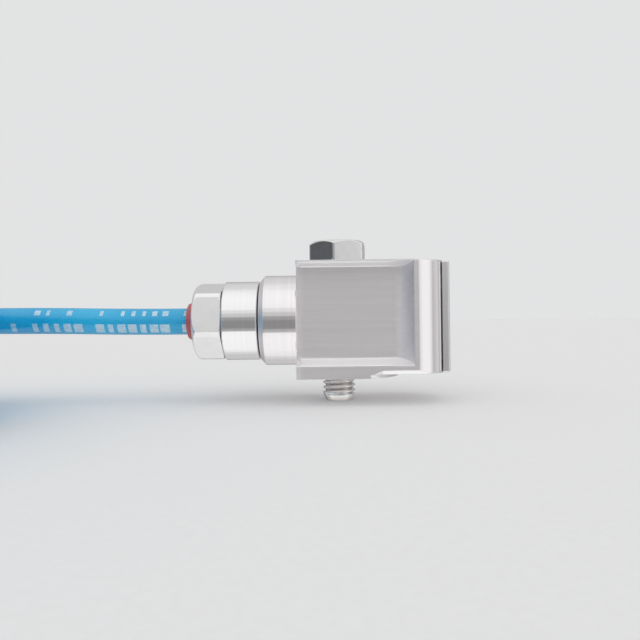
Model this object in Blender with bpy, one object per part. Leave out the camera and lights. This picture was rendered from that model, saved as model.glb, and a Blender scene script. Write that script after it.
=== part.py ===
"""Vibration sensor: a stainless block that one bolt holds to a machine, with a gland and a fixed cable.

X runs along the cable's axis, away from the cable. Z runs up along the bolt, and -Y is the front.
The origin is on the bolt's axis, in the plane of the mounting pad. Sizes are in metres.
"""

import math

import bmesh
import bpy
from mathutils import Matrix, Vector

# Clearance between pieces that touch
GAP = 0.0003

# Mounting bolt
BOLT_DIAMETER = 0.008
BOLT_LENGTH = 0.0338
BOLT_HEAD_FLATS = 0.013
BOLT_HEAD_HEIGHT = 0.0053
BOLT_HEAD_TOP_DIAMETER = 0.011
BOLT_HEAD_CORNER_DROP = 0.0011
BOLT_HEAD_ANGLE = math.radians(21)
BOLT_POINT_DIAMETER = 0.0063
BOLT_POINT_LENGTH = 0.0016

# Block
BLOCK_HEIGHT = 0.0273

# Rounded nose at the cover's end
NOSE_BEYOND_RECESS = 0.0011
NOSE_LENGTH = 0.0059
NOSE_WALL = 0.0018
NOSE_BULGE = 0.0005  # how far the round side stands out from a straight taper
NOSE_STEPS = 10

# Recess in each side of the block
RECESS_DEPTH = 0.0045
RECESS_FLOOR_END = 0.0124
LOWER_FLANGE = 0.0030
LOWER_FLANGE_ROOT = 0.0045
UPPER_LIP = 0.0003
UPPER_LIP_ROOT = 0.00125
RECESS_STEPS = 10

# Mounting pad and the raised underside beside it
PAD_BEYOND_SIDE = 0.0017
PAD_HEIGHT = 0.0009
UNDERSIDE_CHAMFER = 0.0009
CHAMFER_RUN_OUT = 0.0028  # along X, at the pad
PAD_STEPS = 32

# Walls inside the block
SIDE_WALL = 0.0014
TOP_WALL = 0.0022
BOTTOM_WALL = 0.0034
BOSS_END_WALL = 0.0025
BOSS_END_ROOM = 0.0022  # between the bolt's tube and the end wall
BOLT_TUBE_WALL = 0.0011
CORE_PASSAGE_DIAMETER = 0.010
CAVITY_CORNER_RADIUS = 0.0015

# Boss
BOSS_LENGTH = 0.0090
BOSS_FACE_WALL = 0.0011
BOSS_CHAMFER_LENGTH = 0.0012
BOSS_CHAMFER_DEPTH = 0.0013

# End cover
COVER_THICKNESS = 0.0018
COVER_SPIGOT_LENGTH = 0.0016
COVER_CHAMFER = 0.0004

# Gland
SLEEVE_BAND_HEIGHT = 0.0027  # of the plain band over the thread
SLEEVE_LENGTH = 0.0085
SLEEVE_SPIGOT_LENGTH = 0.006
SLEEVE_SOCKET_WALL = 0.0013
SLEEVE_EDGE = 0.0003
RING_THICKNESS = 0.0011
NUT_WALL = 0.0015  # at the middle of a flat
NUT_LENGTH = 0.0071
NUT_FACE_WALL = 0.0016
NUT_FACE_WIDTH = 0.0020
NUT_DOME_LENGTH = 0.0023
NUT_EDGE_RADIUS = 0.0012
NUT_ANGLE = math.radians(10.7)
WASHER_THICKNESS = 0.0006
SEAL_NECK_WALL = 0.00115
SEAL_SHOULDER = 0.0007
SEAL_PROTRUSION = 0.0019
SEAL_LIP_TAPER = 0.0002
SEAL_FLANGE_LENGTH = 0.003
CLAW_LENGTH = 0.0037
CLAW_SLOTS = 8
CLAW_SLOT_WIDTH = 0.0007
CLAW_SLOT_DEPTH = 0.0027
FERRULE_WALL = 0.0006
FERRULE_LENGTH = 0.004
FERRULE_IN_SPIGOT = 0.0016

# Cable
CABLE_DIAMETER = 0.0065
CABLE_STUB_IN_BOSS = 0.0009  # where the sheath ends inside the boss, from the block's end
CABLE_STUB_IN_SEAL = 0.0012  # how deep in the seal's mouth the free cable starts
CORE_DIAMETER = 0.0011
CORE_SPACING_IN_CABLE = 0.0018
CORE_SPACING_AT_BOARD = 0.0036
CORE_BOARD_OVERLAP = 0.0015

# Circuit board
BOARD_THICKNESS = 0.001
BOARD_BEHIND_TUBE = 0.0031
BOARD_TO_COVER = 0.0008
BOARD_EDGE_MARGIN = 0.001
PACKAGE_DRAW = 0.12  # share of a package's thickness by which its edges are drawn in
POTTING_HEIGHT = 0.0045

# Coil of the length that lies beside the sensor
COIL_TURN_DIAMETER = 0.067  # across at the middle of its turns
COIL_TURNS_WIDE = 3
COIL_TURNS_HIGH = 5
COIL_TURN_GAP = 0.0001
COIL_DISTANCE = 0.1143  # from the bolt's axis to the coil's centre, along X
COIL_SEGMENTS = 48
TIE_THICKNESS = 0.0008
TIE_WIDTH = 0.005
TIE_ANGLES = (math.radians(3), math.radians(152))

# Stripped end on top of the coil
END_ANGLE = math.radians(290)  # where on the coil the end's sleeve lies
END_OUTWARDS = 0.002  # how far the end lies outside the middle of the coil's turns
END_SLEEVE_DIAMETER = 0.0078
END_SLEEVE_LENGTH = 0.014
END_SLEEVE_EDGE = 0.0004
END_CORE_LENGTH = 0.022
END_CORE_SPREAD = 0.0028
END_CORE_COUNT = 4
END_CORE_BEND = 0.026
CRIMP_DIAMETER = 0.0015
CRIMP_LENGTH = 0.008
CRIMP_COLLAR_DIAMETER = 0.0022
CRIMP_COLLAR_LENGTH = 0.0035
CRIMP_COLLAR_TAPER = 0.0005

# Facets
SEGMENTS = 48
FINE_SEGMENTS = 72
SMALL_SEGMENTS = 24
RING_SECTION_STEPS = 8
CUTTER_ANGLE = math.tau / SEGMENTS / 4  # turns a cutter's facets off those of the form that it cuts

# Radii that follow from the fits, from the bolt and from the cable outwards
BOLT_HOLE_RADIUS = BOLT_DIAMETER / 2 + GAP
BOLT_TUBE_RADIUS = BOLT_HOLE_RADIUS + BOLT_TUBE_WALL
CABLE_BORE_RADIUS = CABLE_DIAMETER / 2 + GAP
FERRULE_RADIUS = CABLE_BORE_RADIUS + FERRULE_WALL
SEAL_RADIUS = CABLE_BORE_RADIUS + SEAL_NECK_WALL
SOCKET_RADIUS = SEAL_RADIUS + SEAL_SHOULDER + GAP
THREAD_RADIUS = SOCKET_RADIUS + SLEEVE_SOCKET_WALL
GLAND_BORE_RADIUS = THREAD_RADIUS + GAP
BAND_RADIUS = THREAD_RADIUS + SLEEVE_BAND_HEIGHT
RING_SEAT_RADIUS = GLAND_BORE_RADIUS + RING_THICKNESS + GAP
BOSS_FACE_RADIUS = RING_SEAT_RADIUS + BOSS_FACE_WALL
BOSS_RADIUS = BOSS_FACE_RADIUS + BOSS_CHAMFER_DEPTH
NUT_FLATS = 2 * (THREAD_RADIUS + NUT_WALL)
NUT_FACE_RADIUS = SEAL_RADIUS + GAP + NUT_FACE_WIDTH

# Cavity that holds the electronics: the cores pass the bolt's tube on both sides
AXIS_HEIGHT = BLOCK_HEIGHT / 2
CORE_LANE_RADIUS = BOLT_TUBE_RADIUS + GAP + CORE_DIAMETER / 2
CAVITY_HALF_WIDTH = CORE_LANE_RADIUS + CORE_DIAMETER / 2 + GAP
CAVITY_BOTTOM = BOTTOM_WALL
CAVITY_TOP = BLOCK_HEIGHT - TOP_WALL
CAVITY_BACK = -BOLT_TUBE_RADIUS - BOSS_END_ROOM

# The block's width and ends, from the bolt's axis
BLOCK_WIDTH = 2 * (CAVITY_HALF_WIDTH + SIDE_WALL + RECESS_DEPTH)
BLOCK_TO_BOSS = BOSS_END_WALL - CAVITY_BACK
NOSE_START = RECESS_FLOOR_END + RECESS_DEPTH + NOSE_BEYOND_RECESS
NOSE_END_WIDTH = 2 * (CAVITY_HALF_WIDTH + NOSE_WALL)
BLOCK_TO_COVER = NOSE_START + NOSE_LENGTH
PAD_RADIUS = BLOCK_WIDTH / 2 + PAD_BEYOND_SIDE
SPIGOT_END = BLOCK_TO_COVER - COVER_SPIGOT_LENGTH
BOARD_START = BOLT_TUBE_RADIUS + BOARD_BEHIND_TUBE
BOARD_LENGTH = SPIGOT_END - BOARD_TO_COVER - BOARD_START
BOARD_HEIGHT = CAVITY_TOP - CAVITY_BOTTOM - 2 * BOARD_EDGE_MARGIN

# Places along the cable's axis, as distances from the bolt's axis towards the cable
CABLE_STUB_START = BLOCK_TO_BOSS + CABLE_STUB_IN_BOSS
BOSS_FACE = BLOCK_TO_BOSS + BOSS_LENGTH
SLEEVE_START = BOSS_FACE + GAP
SLEEVE_END = SLEEVE_START + SLEEVE_LENGTH
FERRULE_START = SLEEVE_START - SLEEVE_SPIGOT_LENGTH + FERRULE_IN_SPIGOT
NUT_START = SLEEVE_END + GAP
NUT_END = NUT_START + NUT_LENGTH
NUT_SHOULDER = NUT_END - NUT_FACE_WALL
WASHER_FACE = NUT_SHOULDER - GAP - WASHER_THICKNESS
SEAL_END = NUT_END + SEAL_PROTRUSION
SEAL_START = WASHER_FACE - GAP - SEAL_FLANGE_LENGTH
CLAW_START = SEAL_START - GAP - CLAW_LENGTH
FREE_CABLE_START = SEAL_END - CABLE_STUB_IN_SEAL

# The surface under the coil is level with the bolt's point
SURFACE_HEIGHT = BLOCK_HEIGHT + GAP - BOLT_LENGTH
COIL_BOTTOM = SURFACE_HEIGHT + TIE_THICKNESS + GAP
COIL_HEIGHT = COIL_TURNS_HIGH * CABLE_DIAMETER + (COIL_TURNS_HIGH - 1) * COIL_TURN_GAP
COIL_WIDTH = COIL_TURNS_WIDE * CABLE_DIAMETER + (COIL_TURNS_WIDE - 1) * COIL_TURN_GAP
COIL_TOP = COIL_BOTTOM + COIL_HEIGHT
COIL_RADIUS = (COIL_TURN_DIAMETER + COIL_WIDTH) / 2
OUTER_TURN_RADIUS = COIL_RADIUS - CABLE_DIAMETER / 2
COIL_CENTRE = Vector((-COIL_DISTANCE, -OUTER_TURN_RADIUS))

# Route of the free cable: a nearly level run up to the side of the coil
CABLE_RISE = 0.0007
LEAD_TO_COIL = 0.0004  # clearance between the lead's end and the coil
LEAD_REACH = COIL_RADIUS + CABLE_DIAMETER / 2 + LEAD_TO_COIL
LEAD_END = -COIL_DISTANCE + math.sqrt(LEAD_REACH**2 - OUTER_TURN_RADIUS**2)

# Route of a signal core: angles of its way round the bolt's tube, from +X
CORE_ANGLES = (152, 138, 124, 110, 96, 82, 68, 54)


def clear_scene():
    for old in list(bpy.data.objects):
        bpy.data.objects.remove(old, do_unlink=True)


# Materials


def make_material(name, colour, metallic, roughness):
    material = bpy.data.materials.new(name)
    material.use_nodes = True
    shader = material.node_tree.nodes["Principled BSDF"]
    shader.inputs["Base Color"].default_value = (*colour, 1.0)
    shader.inputs["Metallic"].default_value = metallic
    shader.inputs["Roughness"].default_value = roughness
    material.diffuse_color = (*colour, 1.0)
    return material


def milled_steel():
    return make_material("milled_steel", (0.62, 0.61, 0.62), 1.0, 0.32)


def turned_steel():
    return make_material("turned_steel", (0.66, 0.65, 0.65), 1.0, 0.22)


def bolt_steel():
    return make_material("bolt_steel", (0.58, 0.57, 0.57), 1.0, 0.28)


def red_rubber():
    return make_material("red_rubber", (0.55, 0.06, 0.07), 0.0, 0.55)


def blue_sheath():
    return make_material("blue_sheath", (0.02, 0.36, 0.62), 0.0, 0.45)


def white_plastic():
    return make_material("white_plastic", (0.75, 0.74, 0.70), 0.0, 0.5)


def black_rubber():
    return make_material("black_rubber", (0.03, 0.03, 0.03), 0.0, 0.6)


def black_plastic():
    return make_material("black_plastic", (0.03, 0.03, 0.03), 0.0, 0.5)


def brass():
    return make_material("brass", (0.72, 0.55, 0.27), 1.0, 0.3)


def board_green():
    return make_material("board_green", (0.03, 0.20, 0.09), 0.0, 0.45)


def chip_black():
    return make_material("chip_black", (0.02, 0.02, 0.02), 0.0, 0.4)


def capacitor_yellow():
    return make_material("capacitor_yellow", (0.60, 0.38, 0.06), 0.0, 0.45)


def potting_resin():
    return make_material("potting_resin", (0.10, 0.09, 0.08), 0.0, 0.35)


def tinned_copper():
    return make_material("tinned_copper", (0.70, 0.69, 0.66), 1.0, 0.3)


def core_insulation(index):
    colours = [(0.20, 0.09, 0.03), (0.80, 0.80, 0.78), (0.03, 0.12, 0.45), (0.02, 0.02, 0.02)]
    return make_material(f"core_insulation_{index + 1}", colours[index % len(colours)], 0.0, 0.5)


# Modelling helpers


def add_object(name, bm, material=None):
    """A named object from a finished bmesh, with flat faces flat and round ones smooth."""
    bmesh.ops.recalc_face_normals(bm, faces=bm.faces)
    mesh = bpy.data.meshes.new(name)
    bm.to_mesh(mesh)
    bm.free()
    mesh.shade_smooth()
    mesh.set_sharp_from_angle(angle=math.radians(35))
    made = bpy.data.objects.new(name, mesh)
    bpy.context.collection.objects.link(made)
    if material:
        mesh.materials.append(material)
    return made


def as_cutter(cutter):
    cutter.hide_render = True
    cutter.display_type = "WIRE"
    return cutter


def boolean(target, cutter, operation="DIFFERENCE"):
    modifier = target.modifiers.new(f"{operation.lower()}_{cutter.name}", "BOOLEAN")
    modifier.operation = operation
    modifier.solver = "EXACT"
    modifier.object = cutter
    return target


def extrude_outline(outline, bottom, top):
    """A prism over a closed outline of (x, y) points."""
    bm = bmesh.new()
    face = bm.faces.new([bm.verts.new((x, y, bottom)) for x, y in outline])
    grown = bmesh.ops.extrude_face_region(bm, geom=[face])
    raised = [item for item in grown["geom"] if isinstance(item, bmesh.types.BMVert)]
    bmesh.ops.translate(bm, verts=raised, vec=(0, 0, top - bottom))
    return bm


def loft(sections):
    """A solid through closed sections of 3-D points, each with the same number of points."""
    bm = bmesh.new()
    rings = [[bm.verts.new(point) for point in section] for section in sections]
    for lower, upper in zip(rings, rings[1:]):
        for index in range(len(lower)):
            after = (index + 1) % len(lower)
            bm.faces.new((lower[index], lower[after], upper[after], upper[index]))
    bm.faces.new(rings[0])
    bm.faces.new(rings[-1])
    return bm


def turn(profile, segments=SEGMENTS, closed=True, first_angle=0.0):
    """A turned solid about Z from (radius, height) points. An open profile starts and ends on the axis."""
    bm = bmesh.new()
    across = (math.cos(first_angle), math.sin(first_angle))
    points = [bm.verts.new((radius * across[0], radius * across[1], height)) for radius, height in profile]
    edges = [bm.edges.new(pair) for pair in zip(points, points[1:])]
    if closed:
        edges.append(bm.edges.new((points[-1], points[0])))
    bmesh.ops.spin(
        bm, geom=points + edges, cent=(0, 0, 0), axis=(0, 0, 1), angle=math.tau, steps=segments, use_merge=True
    )
    bmesh.ops.remove_doubles(bm, verts=bm.verts, dist=1e-7)
    return bm


def arc_points(centre, start, end, steps):
    """Points on a round arc from start to end, the shorter way about the centre."""
    first = Vector(start) - Vector(centre)
    last = Vector(end) - Vector(centre)
    begin = math.atan2(first.y, first.x)
    swing = (math.atan2(last.y, last.x) - begin + math.pi) % math.tau - math.pi
    points = []
    for step in range(steps + 1):
        angle = begin + swing * step / steps
        points.append((centre[0] + first.length * math.cos(angle), centre[1] + first.length * math.sin(angle)))
    return points


def rounded(points, radius, steps=4):
    """An open line of 2-D points with its inner corners rounded."""
    line = [points[0]]
    for before, corner, after in zip(points, points[1:], points[2:]):
        into = (Vector(before) - Vector(corner)).normalized()
        out = (Vector(after) - Vector(corner)).normalized()
        half = into.angle(out) / 2
        reach = radius / math.tan(half)
        centre = Vector(corner) + (into + out).normalized() * radius / math.sin(half)
        line += arc_points(centre, Vector(corner) + into * reach, Vector(corner) + out * reach, steps)
    line.append(points[-1])
    return line


def rectangle(half_width, bottom, top, corner, steps=4):
    """A closed rectangle of (y, z) points with round corners, counted anticlockwise from +Y."""
    centres = [
        (half_width - corner, bottom + corner, -90),
        (half_width - corner, top - corner, 0),
        (-half_width + corner, top - corner, 90),
        (-half_width + corner, bottom + corner, 180),
    ]
    points = []
    for y, z, first in centres:
        for step in range(steps + 1):
            angle = math.radians(first + 90 * step / steps)
            points.append((y + corner * math.cos(angle), z + corner * math.sin(angle)))
    return points


def arc_by_bulge(start, end, bulge, steps):
    """Points after the start, up to the end, on a round arc that stands out by bulge on its left side."""
    a = Vector(start)
    b = Vector(end)
    chord = b - a
    radius = chord.length**2 / (8 * bulge) + bulge / 2
    outwards = Vector((-chord.y, chord.x)).normalized()
    centre = (a + b) / 2 + outwards * (bulge - radius)
    return arc_points(centre, a, b, steps)[1:]


def hexagon(across_flats, bottom, top, first_angle):
    """A hexagonal prism about Z. Its first corner is at first_angle from +X."""
    corner_radius = across_flats / math.sqrt(3)
    corners = []
    for index in range(6):
        angle = first_angle + index * math.pi / 3
        corners.append((corner_radius * math.cos(angle), corner_radius * math.sin(angle)))
    return extrude_outline(corners, bottom, top)


def box(centre, size):
    bm = bmesh.new()
    bmesh.ops.create_cube(bm, size=1.0)
    bmesh.ops.scale(bm, verts=bm.verts, vec=size)
    bmesh.ops.translate(bm, verts=bm.verts, vec=centre)
    return bm


def along_cable(made):
    """Lays a solid turned about Z along the cable's axis, its height counted towards the cable."""
    made.rotation_euler = (0, -math.pi / 2, 0)
    made.location = (0, 0, AXIS_HEIGHT)
    return made


def smooth_route(points, spacing):
    """Points a given distance apart on a smooth curve through the route's own points."""
    route = [Vector(point) for point in points]
    ends = [2 * route[0] - route[1]] + route + [2 * route[-1] - route[-2]]
    fine = [route[0]]
    for p0, p1, p2, p3 in zip(ends, ends[1:], ends[2:], ends[3:]):
        for step in range(1, 25):
            t = step / 24
            straight = 2 * p1 + (p2 - p0) * t
            bend = (2 * p0 - 5 * p1 + 4 * p2 - p3) * t**2 + (3 * p1 - p0 - 3 * p2 + p3) * t**3
            fine.append((straight + bend) / 2)
    total = sum((b - a).length for a, b in zip(fine, fine[1:]))
    count = max(2, round(total / spacing))
    spaced = [fine[0]]
    travelled = 0.0
    for a, b in zip(fine, fine[1:]):
        travelled += (b - a).length
        if len(spaced) < count and travelled >= len(spaced) * total / count:
            spaced.append(b)
    return spaced + [fine[-1]]


def add_cord(name, points, diameter, material, bevel_resolution=2):
    """A round cord as a curve with closed ends."""
    curve = bpy.data.curves.new(name, "CURVE")
    curve.dimensions = "3D"
    curve.bevel_depth = diameter / 2
    curve.bevel_resolution = bevel_resolution
    curve.render_resolution_u = 0
    curve.use_fill_caps = True
    spline = curve.splines.new("POLY")
    spline.points.add(len(points) - 1)
    for place, point in zip(spline.points, points):
        place.co = (*point, 1.0)
    curve.materials.append(material)
    made = bpy.data.objects.new(name, curve)
    bpy.context.collection.objects.link(made)
    return made


# Housing


def nose_side():
    """The front side's outline round the nose, from the end of the flange to the cover's end."""
    start = (NOSE_START, BLOCK_WIDTH / 2)
    end = (BLOCK_TO_COVER, NOSE_END_WIDTH / 2)
    return [start] + arc_by_bulge(start, end, NOSE_BULGE, NOSE_STEPS)


def block_outline():
    side = [(-BLOCK_TO_BOSS, BLOCK_WIDTH / 2)] + nose_side()
    return side + [(x, -y) for x, y in reversed(side)]


def recess_height(depth):
    """Bottom and top of a side recess at a depth below the block's side."""
    share = depth / RECESS_DEPTH
    low = LOWER_FLANGE + (LOWER_FLANGE_ROOT - LOWER_FLANGE) * share
    lip = UPPER_LIP + (UPPER_LIP_ROOT - UPPER_LIP) * share
    return low, BLOCK_HEIGHT - lip


def recess_cutter(side):
    """The milled recess: a flat floor that sweeps out to the side in a quarter round. It leaves the boss whole."""
    outside = 0.001  # how far the cutter reaches past the block's side
    stations = [(-BLOCK_TO_BOSS, RECESS_DEPTH)]
    for step in range(RECESS_STEPS + 1):
        angle = math.pi / 2 * step / RECESS_STEPS
        x = RECESS_FLOOR_END + RECESS_DEPTH * math.sin(angle)
        stations.append((x, RECESS_DEPTH * math.cos(angle)))
    stations[-1] = (stations[-1][0], 0.0)
    sections = []
    for x, depth in stations:
        section = []
        for d, is_top in ((depth, 0), (depth, 1), (-outside, 1), (-outside, 0)):
            section.append((x, side * (BLOCK_WIDTH / 2 - d), recess_height(d)[is_top]))
        sections.append(section)
    name = "recess_cutter_front" if side < 0 else "recess_cutter_back"
    return as_cutter(add_object(name, loft(sections)))


def underside_cutter():
    """Raises the underside beside the pad, up to a round edge about the bolt."""
    outside = 0.001
    half = BLOCK_WIDTH / 2 + outside
    widest = math.asin(min(1.0, half / PAD_RADIUS))
    outline = []
    for step in range(PAD_STEPS + 1):
        angle = -widest + 2 * widest * step / PAD_STEPS
        outline.append((PAD_RADIUS * math.cos(angle), PAD_RADIUS * math.sin(angle)))
    far = BLOCK_TO_COVER + outside
    outline += [(far, outline[-1][1]), (far, outline[0][1])]
    return as_cutter(add_object("underside_cutter", extrude_outline(outline, -outside, PAD_HEIGHT)))


def underside_chamfer_cutter(side):
    """A chamfer along the raised underside's edge, which runs out at the pad and on the nose."""
    outside = 0.001
    edge = BLOCK_WIDTH / 2
    pad_edge = math.sqrt(max(0.0, PAD_RADIUS**2 - edge**2))
    full = pad_edge + CHAMFER_RUN_OUT
    sections = []
    for x, chamfer in ((pad_edge, -GAP), (full, UNDERSIDE_CHAMFER), (BLOCK_TO_COVER + outside, UNDERSIDE_CHAMFER)):
        reach = chamfer + outside
        low = (x, side * (edge + outside), PAD_HEIGHT - outside)
        high = (x, side * (edge + outside), PAD_HEIGHT + reach)
        inner = (x, side * (edge - reach), PAD_HEIGHT - outside)
        sections.append([low, high, inner])
    name = "chamfer_cutter_front" if side < 0 else "chamfer_cutter_back"
    return as_cutter(add_object(name, loft(sections)))


def cavity_cutter():
    """The room for the electronics, with the bolt's tube left standing in it."""
    outside = 0.001
    outline = rectangle(CAVITY_HALF_WIDTH, CAVITY_BOTTOM, CAVITY_TOP, CAVITY_CORNER_RADIUS)
    ends = (CAVITY_BACK, BLOCK_TO_COVER + outside)
    room = as_cutter(add_object("cavity_cutter", loft([[(x, y, z) for y, z in outline] for x in ends])))
    tube_profile = [(0.0, -outside), (BOLT_TUBE_RADIUS, -outside)]
    tube_profile += [(BOLT_TUBE_RADIUS, BLOCK_HEIGHT + outside), (0.0, BLOCK_HEIGHT + outside)]
    tube = as_cutter(add_object("bolt_tube_form", turn(tube_profile, closed=False)))
    return boolean(room, tube)


def boss_bore_cutter():
    """Stepped bore for the gland: core passage, threaded bore and the sealing ring's seat."""
    outside = 0.001
    seat_depth = RING_THICKNESS + GAP
    bore_end = SLEEVE_START - SLEEVE_SPIGOT_LENGTH - GAP
    profile = [
        (0.0, -CAVITY_BACK - BOSS_END_WALL / 4),
        (CORE_PASSAGE_DIAMETER / 2, -CAVITY_BACK - BOSS_END_WALL / 4),
        (CORE_PASSAGE_DIAMETER / 2, bore_end),
        (GLAND_BORE_RADIUS, bore_end),
        (GLAND_BORE_RADIUS, BOSS_FACE - seat_depth),
        (RING_SEAT_RADIUS, BOSS_FACE - seat_depth),
        (RING_SEAT_RADIUS, BOSS_FACE + outside),
        (0.0, BOSS_FACE + outside),
    ]
    bore = turn(profile, closed=False, first_angle=CUTTER_ANGLE)
    return as_cutter(along_cable(add_object("boss_bore_cutter", bore)))


def bolt_hole_cutter():
    outside = 0.001
    profile = [(0.0, -outside), (BOLT_HOLE_RADIUS, -outside)]
    profile += [(BOLT_HOLE_RADIUS, BLOCK_HEIGHT + outside), (0.0, BLOCK_HEIGHT + outside)]
    return as_cutter(add_object("bolt_hole_cutter", turn(profile, closed=False)))


def boss_form():
    """The boss as a turned form that reaches into the block's end wall."""
    inside = BLOCK_TO_BOSS - BOSS_END_WALL / 2
    profile = [
        (0.0, inside),
        (BOSS_RADIUS, inside),
        (BOSS_RADIUS, BOSS_FACE - BOSS_CHAMFER_LENGTH),
        (BOSS_FACE_RADIUS, BOSS_FACE),
        (0.0, BOSS_FACE),
    ]
    return as_cutter(along_cable(add_object("boss_form", turn(profile, FINE_SEGMENTS, closed=False))))


def make_housing():
    housing = add_object("housing", extrude_outline(block_outline(), 0.0, BLOCK_HEIGHT), milled_steel())
    boolean(housing, bolt_hole_cutter())
    boolean(housing, boss_form(), "UNION")
    for side in (-1, 1):
        boolean(housing, recess_cutter(side))
    boolean(housing, underside_cutter())
    for side in (-1, 1):
        boolean(housing, underside_chamfer_cutter(side))
    boolean(housing, cavity_cutter())
    boolean(housing, boss_bore_cutter())
    return housing


# Cover and bolt


def make_end_cover():
    """A plate flush with the nose, with a spigot that centres it in the cavity's mouth."""
    half = NOSE_END_WIDTH / 2
    inner = BLOCK_TO_COVER + GAP
    outer = inner + COVER_THICKNESS
    corner = CAVITY_CORNER_RADIUS - GAP
    spigot = rectangle(CAVITY_HALF_WIDTH - GAP, CAVITY_BOTTOM + GAP, CAVITY_TOP - GAP, corner)
    plate = rectangle(half, PAD_HEIGHT, BLOCK_HEIGHT, COVER_CHAMFER)
    face = rectangle(half - COVER_CHAMFER, PAD_HEIGHT + COVER_CHAMFER, BLOCK_HEIGHT - COVER_CHAMFER, COVER_CHAMFER / 2)
    stations = [(SPIGOT_END, spigot), (inner, spigot), (inner, plate), (outer - COVER_CHAMFER, plate), (outer, face)]
    sections = [[(x, y, z) for y, z in outline] for x, outline in stations]
    return add_object("end_cover", loft(sections), milled_steel())


def make_bolt():
    """A hexagon bolt whose head has its corners turned off to a round flat."""
    seat = BLOCK_HEIGHT + GAP
    top = seat + BOLT_HEAD_HEIGHT
    corner_radius = BOLT_HEAD_FLATS / math.sqrt(3)
    head = add_object("mounting_bolt", hexagon(BOLT_HEAD_FLATS, seat, top, math.pi + BOLT_HEAD_ANGLE), bolt_steel())
    past = 0.0005
    slope = BOLT_HEAD_CORNER_DROP / (corner_radius - BOLT_HEAD_TOP_DIAMETER / 2)
    wide = corner_radius + past
    envelope = [
        (0.0, seat - past),
        (wide, seat - past),
        (wide, top - BOLT_HEAD_CORNER_DROP - past * slope),
        (BOLT_HEAD_TOP_DIAMETER / 2, top),
        (0.0, top),
    ]
    boolean(head, as_cutter(add_object("bolt_head_envelope", turn(envelope, FINE_SEGMENTS, closed=False))), "INTERSECT")
    point = seat - BOLT_LENGTH
    shank = [
        (0.0, point),
        (BOLT_POINT_DIAMETER / 2, point),
        (BOLT_DIAMETER / 2, point + BOLT_POINT_LENGTH),
        (BOLT_DIAMETER / 2, seat + BOLT_HEAD_HEIGHT / 2),
        (0.0, seat + BOLT_HEAD_HEIGHT / 2),
    ]
    return boolean(head, as_cutter(add_object("bolt_shank_form", turn(shank, closed=False))), "UNION")


# Gland


def make_sleeve():
    """The gland's body: a spigot in the boss, a plain band, and the thread that carries the nut."""
    thread = THREAD_RADIUS
    thread_end = WASHER_FACE - GAP
    bore = FERRULE_RADIUS + GAP
    band = BAND_RADIUS
    profile = [
        (bore, SLEEVE_START - SLEEVE_SPIGOT_LENGTH),
        (thread, SLEEVE_START - SLEEVE_SPIGOT_LENGTH),
        (thread, SLEEVE_START),
        (band - SLEEVE_EDGE, SLEEVE_START),
        (band, SLEEVE_START + SLEEVE_EDGE),
        (band, SLEEVE_END - SLEEVE_EDGE),
        (band - SLEEVE_EDGE, SLEEVE_END),
        (thread, SLEEVE_END),
        (thread, thread_end),
        (SOCKET_RADIUS, thread_end),
        (SOCKET_RADIUS, CLAW_START - GAP),
        (bore, CLAW_START - GAP),
    ]
    return along_cable(add_object("gland_sleeve", turn(profile, FINE_SEGMENTS), turned_steel()))


def make_nut():
    """A hexagon nut whose cable end is turned to a dome, bored for the seal."""
    corner_radius = NUT_FLATS / math.sqrt(3)
    blank = hexagon(NUT_FLATS, NUT_START, NUT_END, NUT_ANGLE)
    nut = along_cable(add_object("gland_nut", blank, turned_steel()))
    past = 0.0005
    edge = 0.0003
    dome_slope = (corner_radius - NUT_FACE_RADIUS) / NUT_DOME_LENGTH
    dome = [
        (SEAL_RADIUS, NUT_END),
        (NUT_FACE_RADIUS, NUT_END),
        (corner_radius + past, NUT_END - NUT_DOME_LENGTH - past / dome_slope),
    ]
    envelope = [(0.0, NUT_END)] + rounded(dome, NUT_EDGE_RADIUS)
    envelope += [(corner_radius + past, NUT_START + edge + past), (corner_radius - edge, NUT_START), (0.0, NUT_START)]
    boolean(nut, as_cutter(along_cable(add_object("nut_envelope", turn(envelope, FINE_SEGMENTS, closed=False)))), "INTERSECT")
    bore = [
        (0.0, NUT_START - past),
        (GLAND_BORE_RADIUS, NUT_START - past),
        (GLAND_BORE_RADIUS, NUT_SHOULDER),
        (SEAL_RADIUS + GAP, NUT_SHOULDER),
        (SEAL_RADIUS + GAP, NUT_END + past),
        (0.0, NUT_END + past),
    ]
    return boolean(nut, as_cutter(along_cable(add_object("nut_bore_cutter", turn(bore, closed=False)))))


def make_washer():
    profile = [
        (SEAL_RADIUS + GAP, WASHER_FACE),
        (GLAND_BORE_RADIUS - GAP, WASHER_FACE),
        (GLAND_BORE_RADIUS - GAP, WASHER_FACE + WASHER_THICKNESS),
        (SEAL_RADIUS + GAP, WASHER_FACE + WASHER_THICKNESS),
    ]
    return along_cable(add_object("gland_washer", turn(profile), brass()))


def make_seal():
    """The grommet that the nut squeezes on the cable. Its neck stands out of the nut."""
    flange = SOCKET_RADIUS - GAP
    flange_end = WASHER_FACE - GAP
    lip = SEAL_RADIUS - SEAL_LIP_TAPER
    lip_edge = 0.0004
    profile = [
        (CABLE_BORE_RADIUS, SEAL_START),
        (flange, SEAL_START),
        (flange, flange_end),
        (SEAL_RADIUS, flange_end),
        (SEAL_RADIUS, NUT_END + GAP),
        (lip, SEAL_END - lip_edge),
        (lip - lip_edge, SEAL_END),
        (CABLE_BORE_RADIUS, SEAL_END),
    ]
    return along_cable(add_object("gland_seal", turn(profile), red_rubber()))


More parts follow.
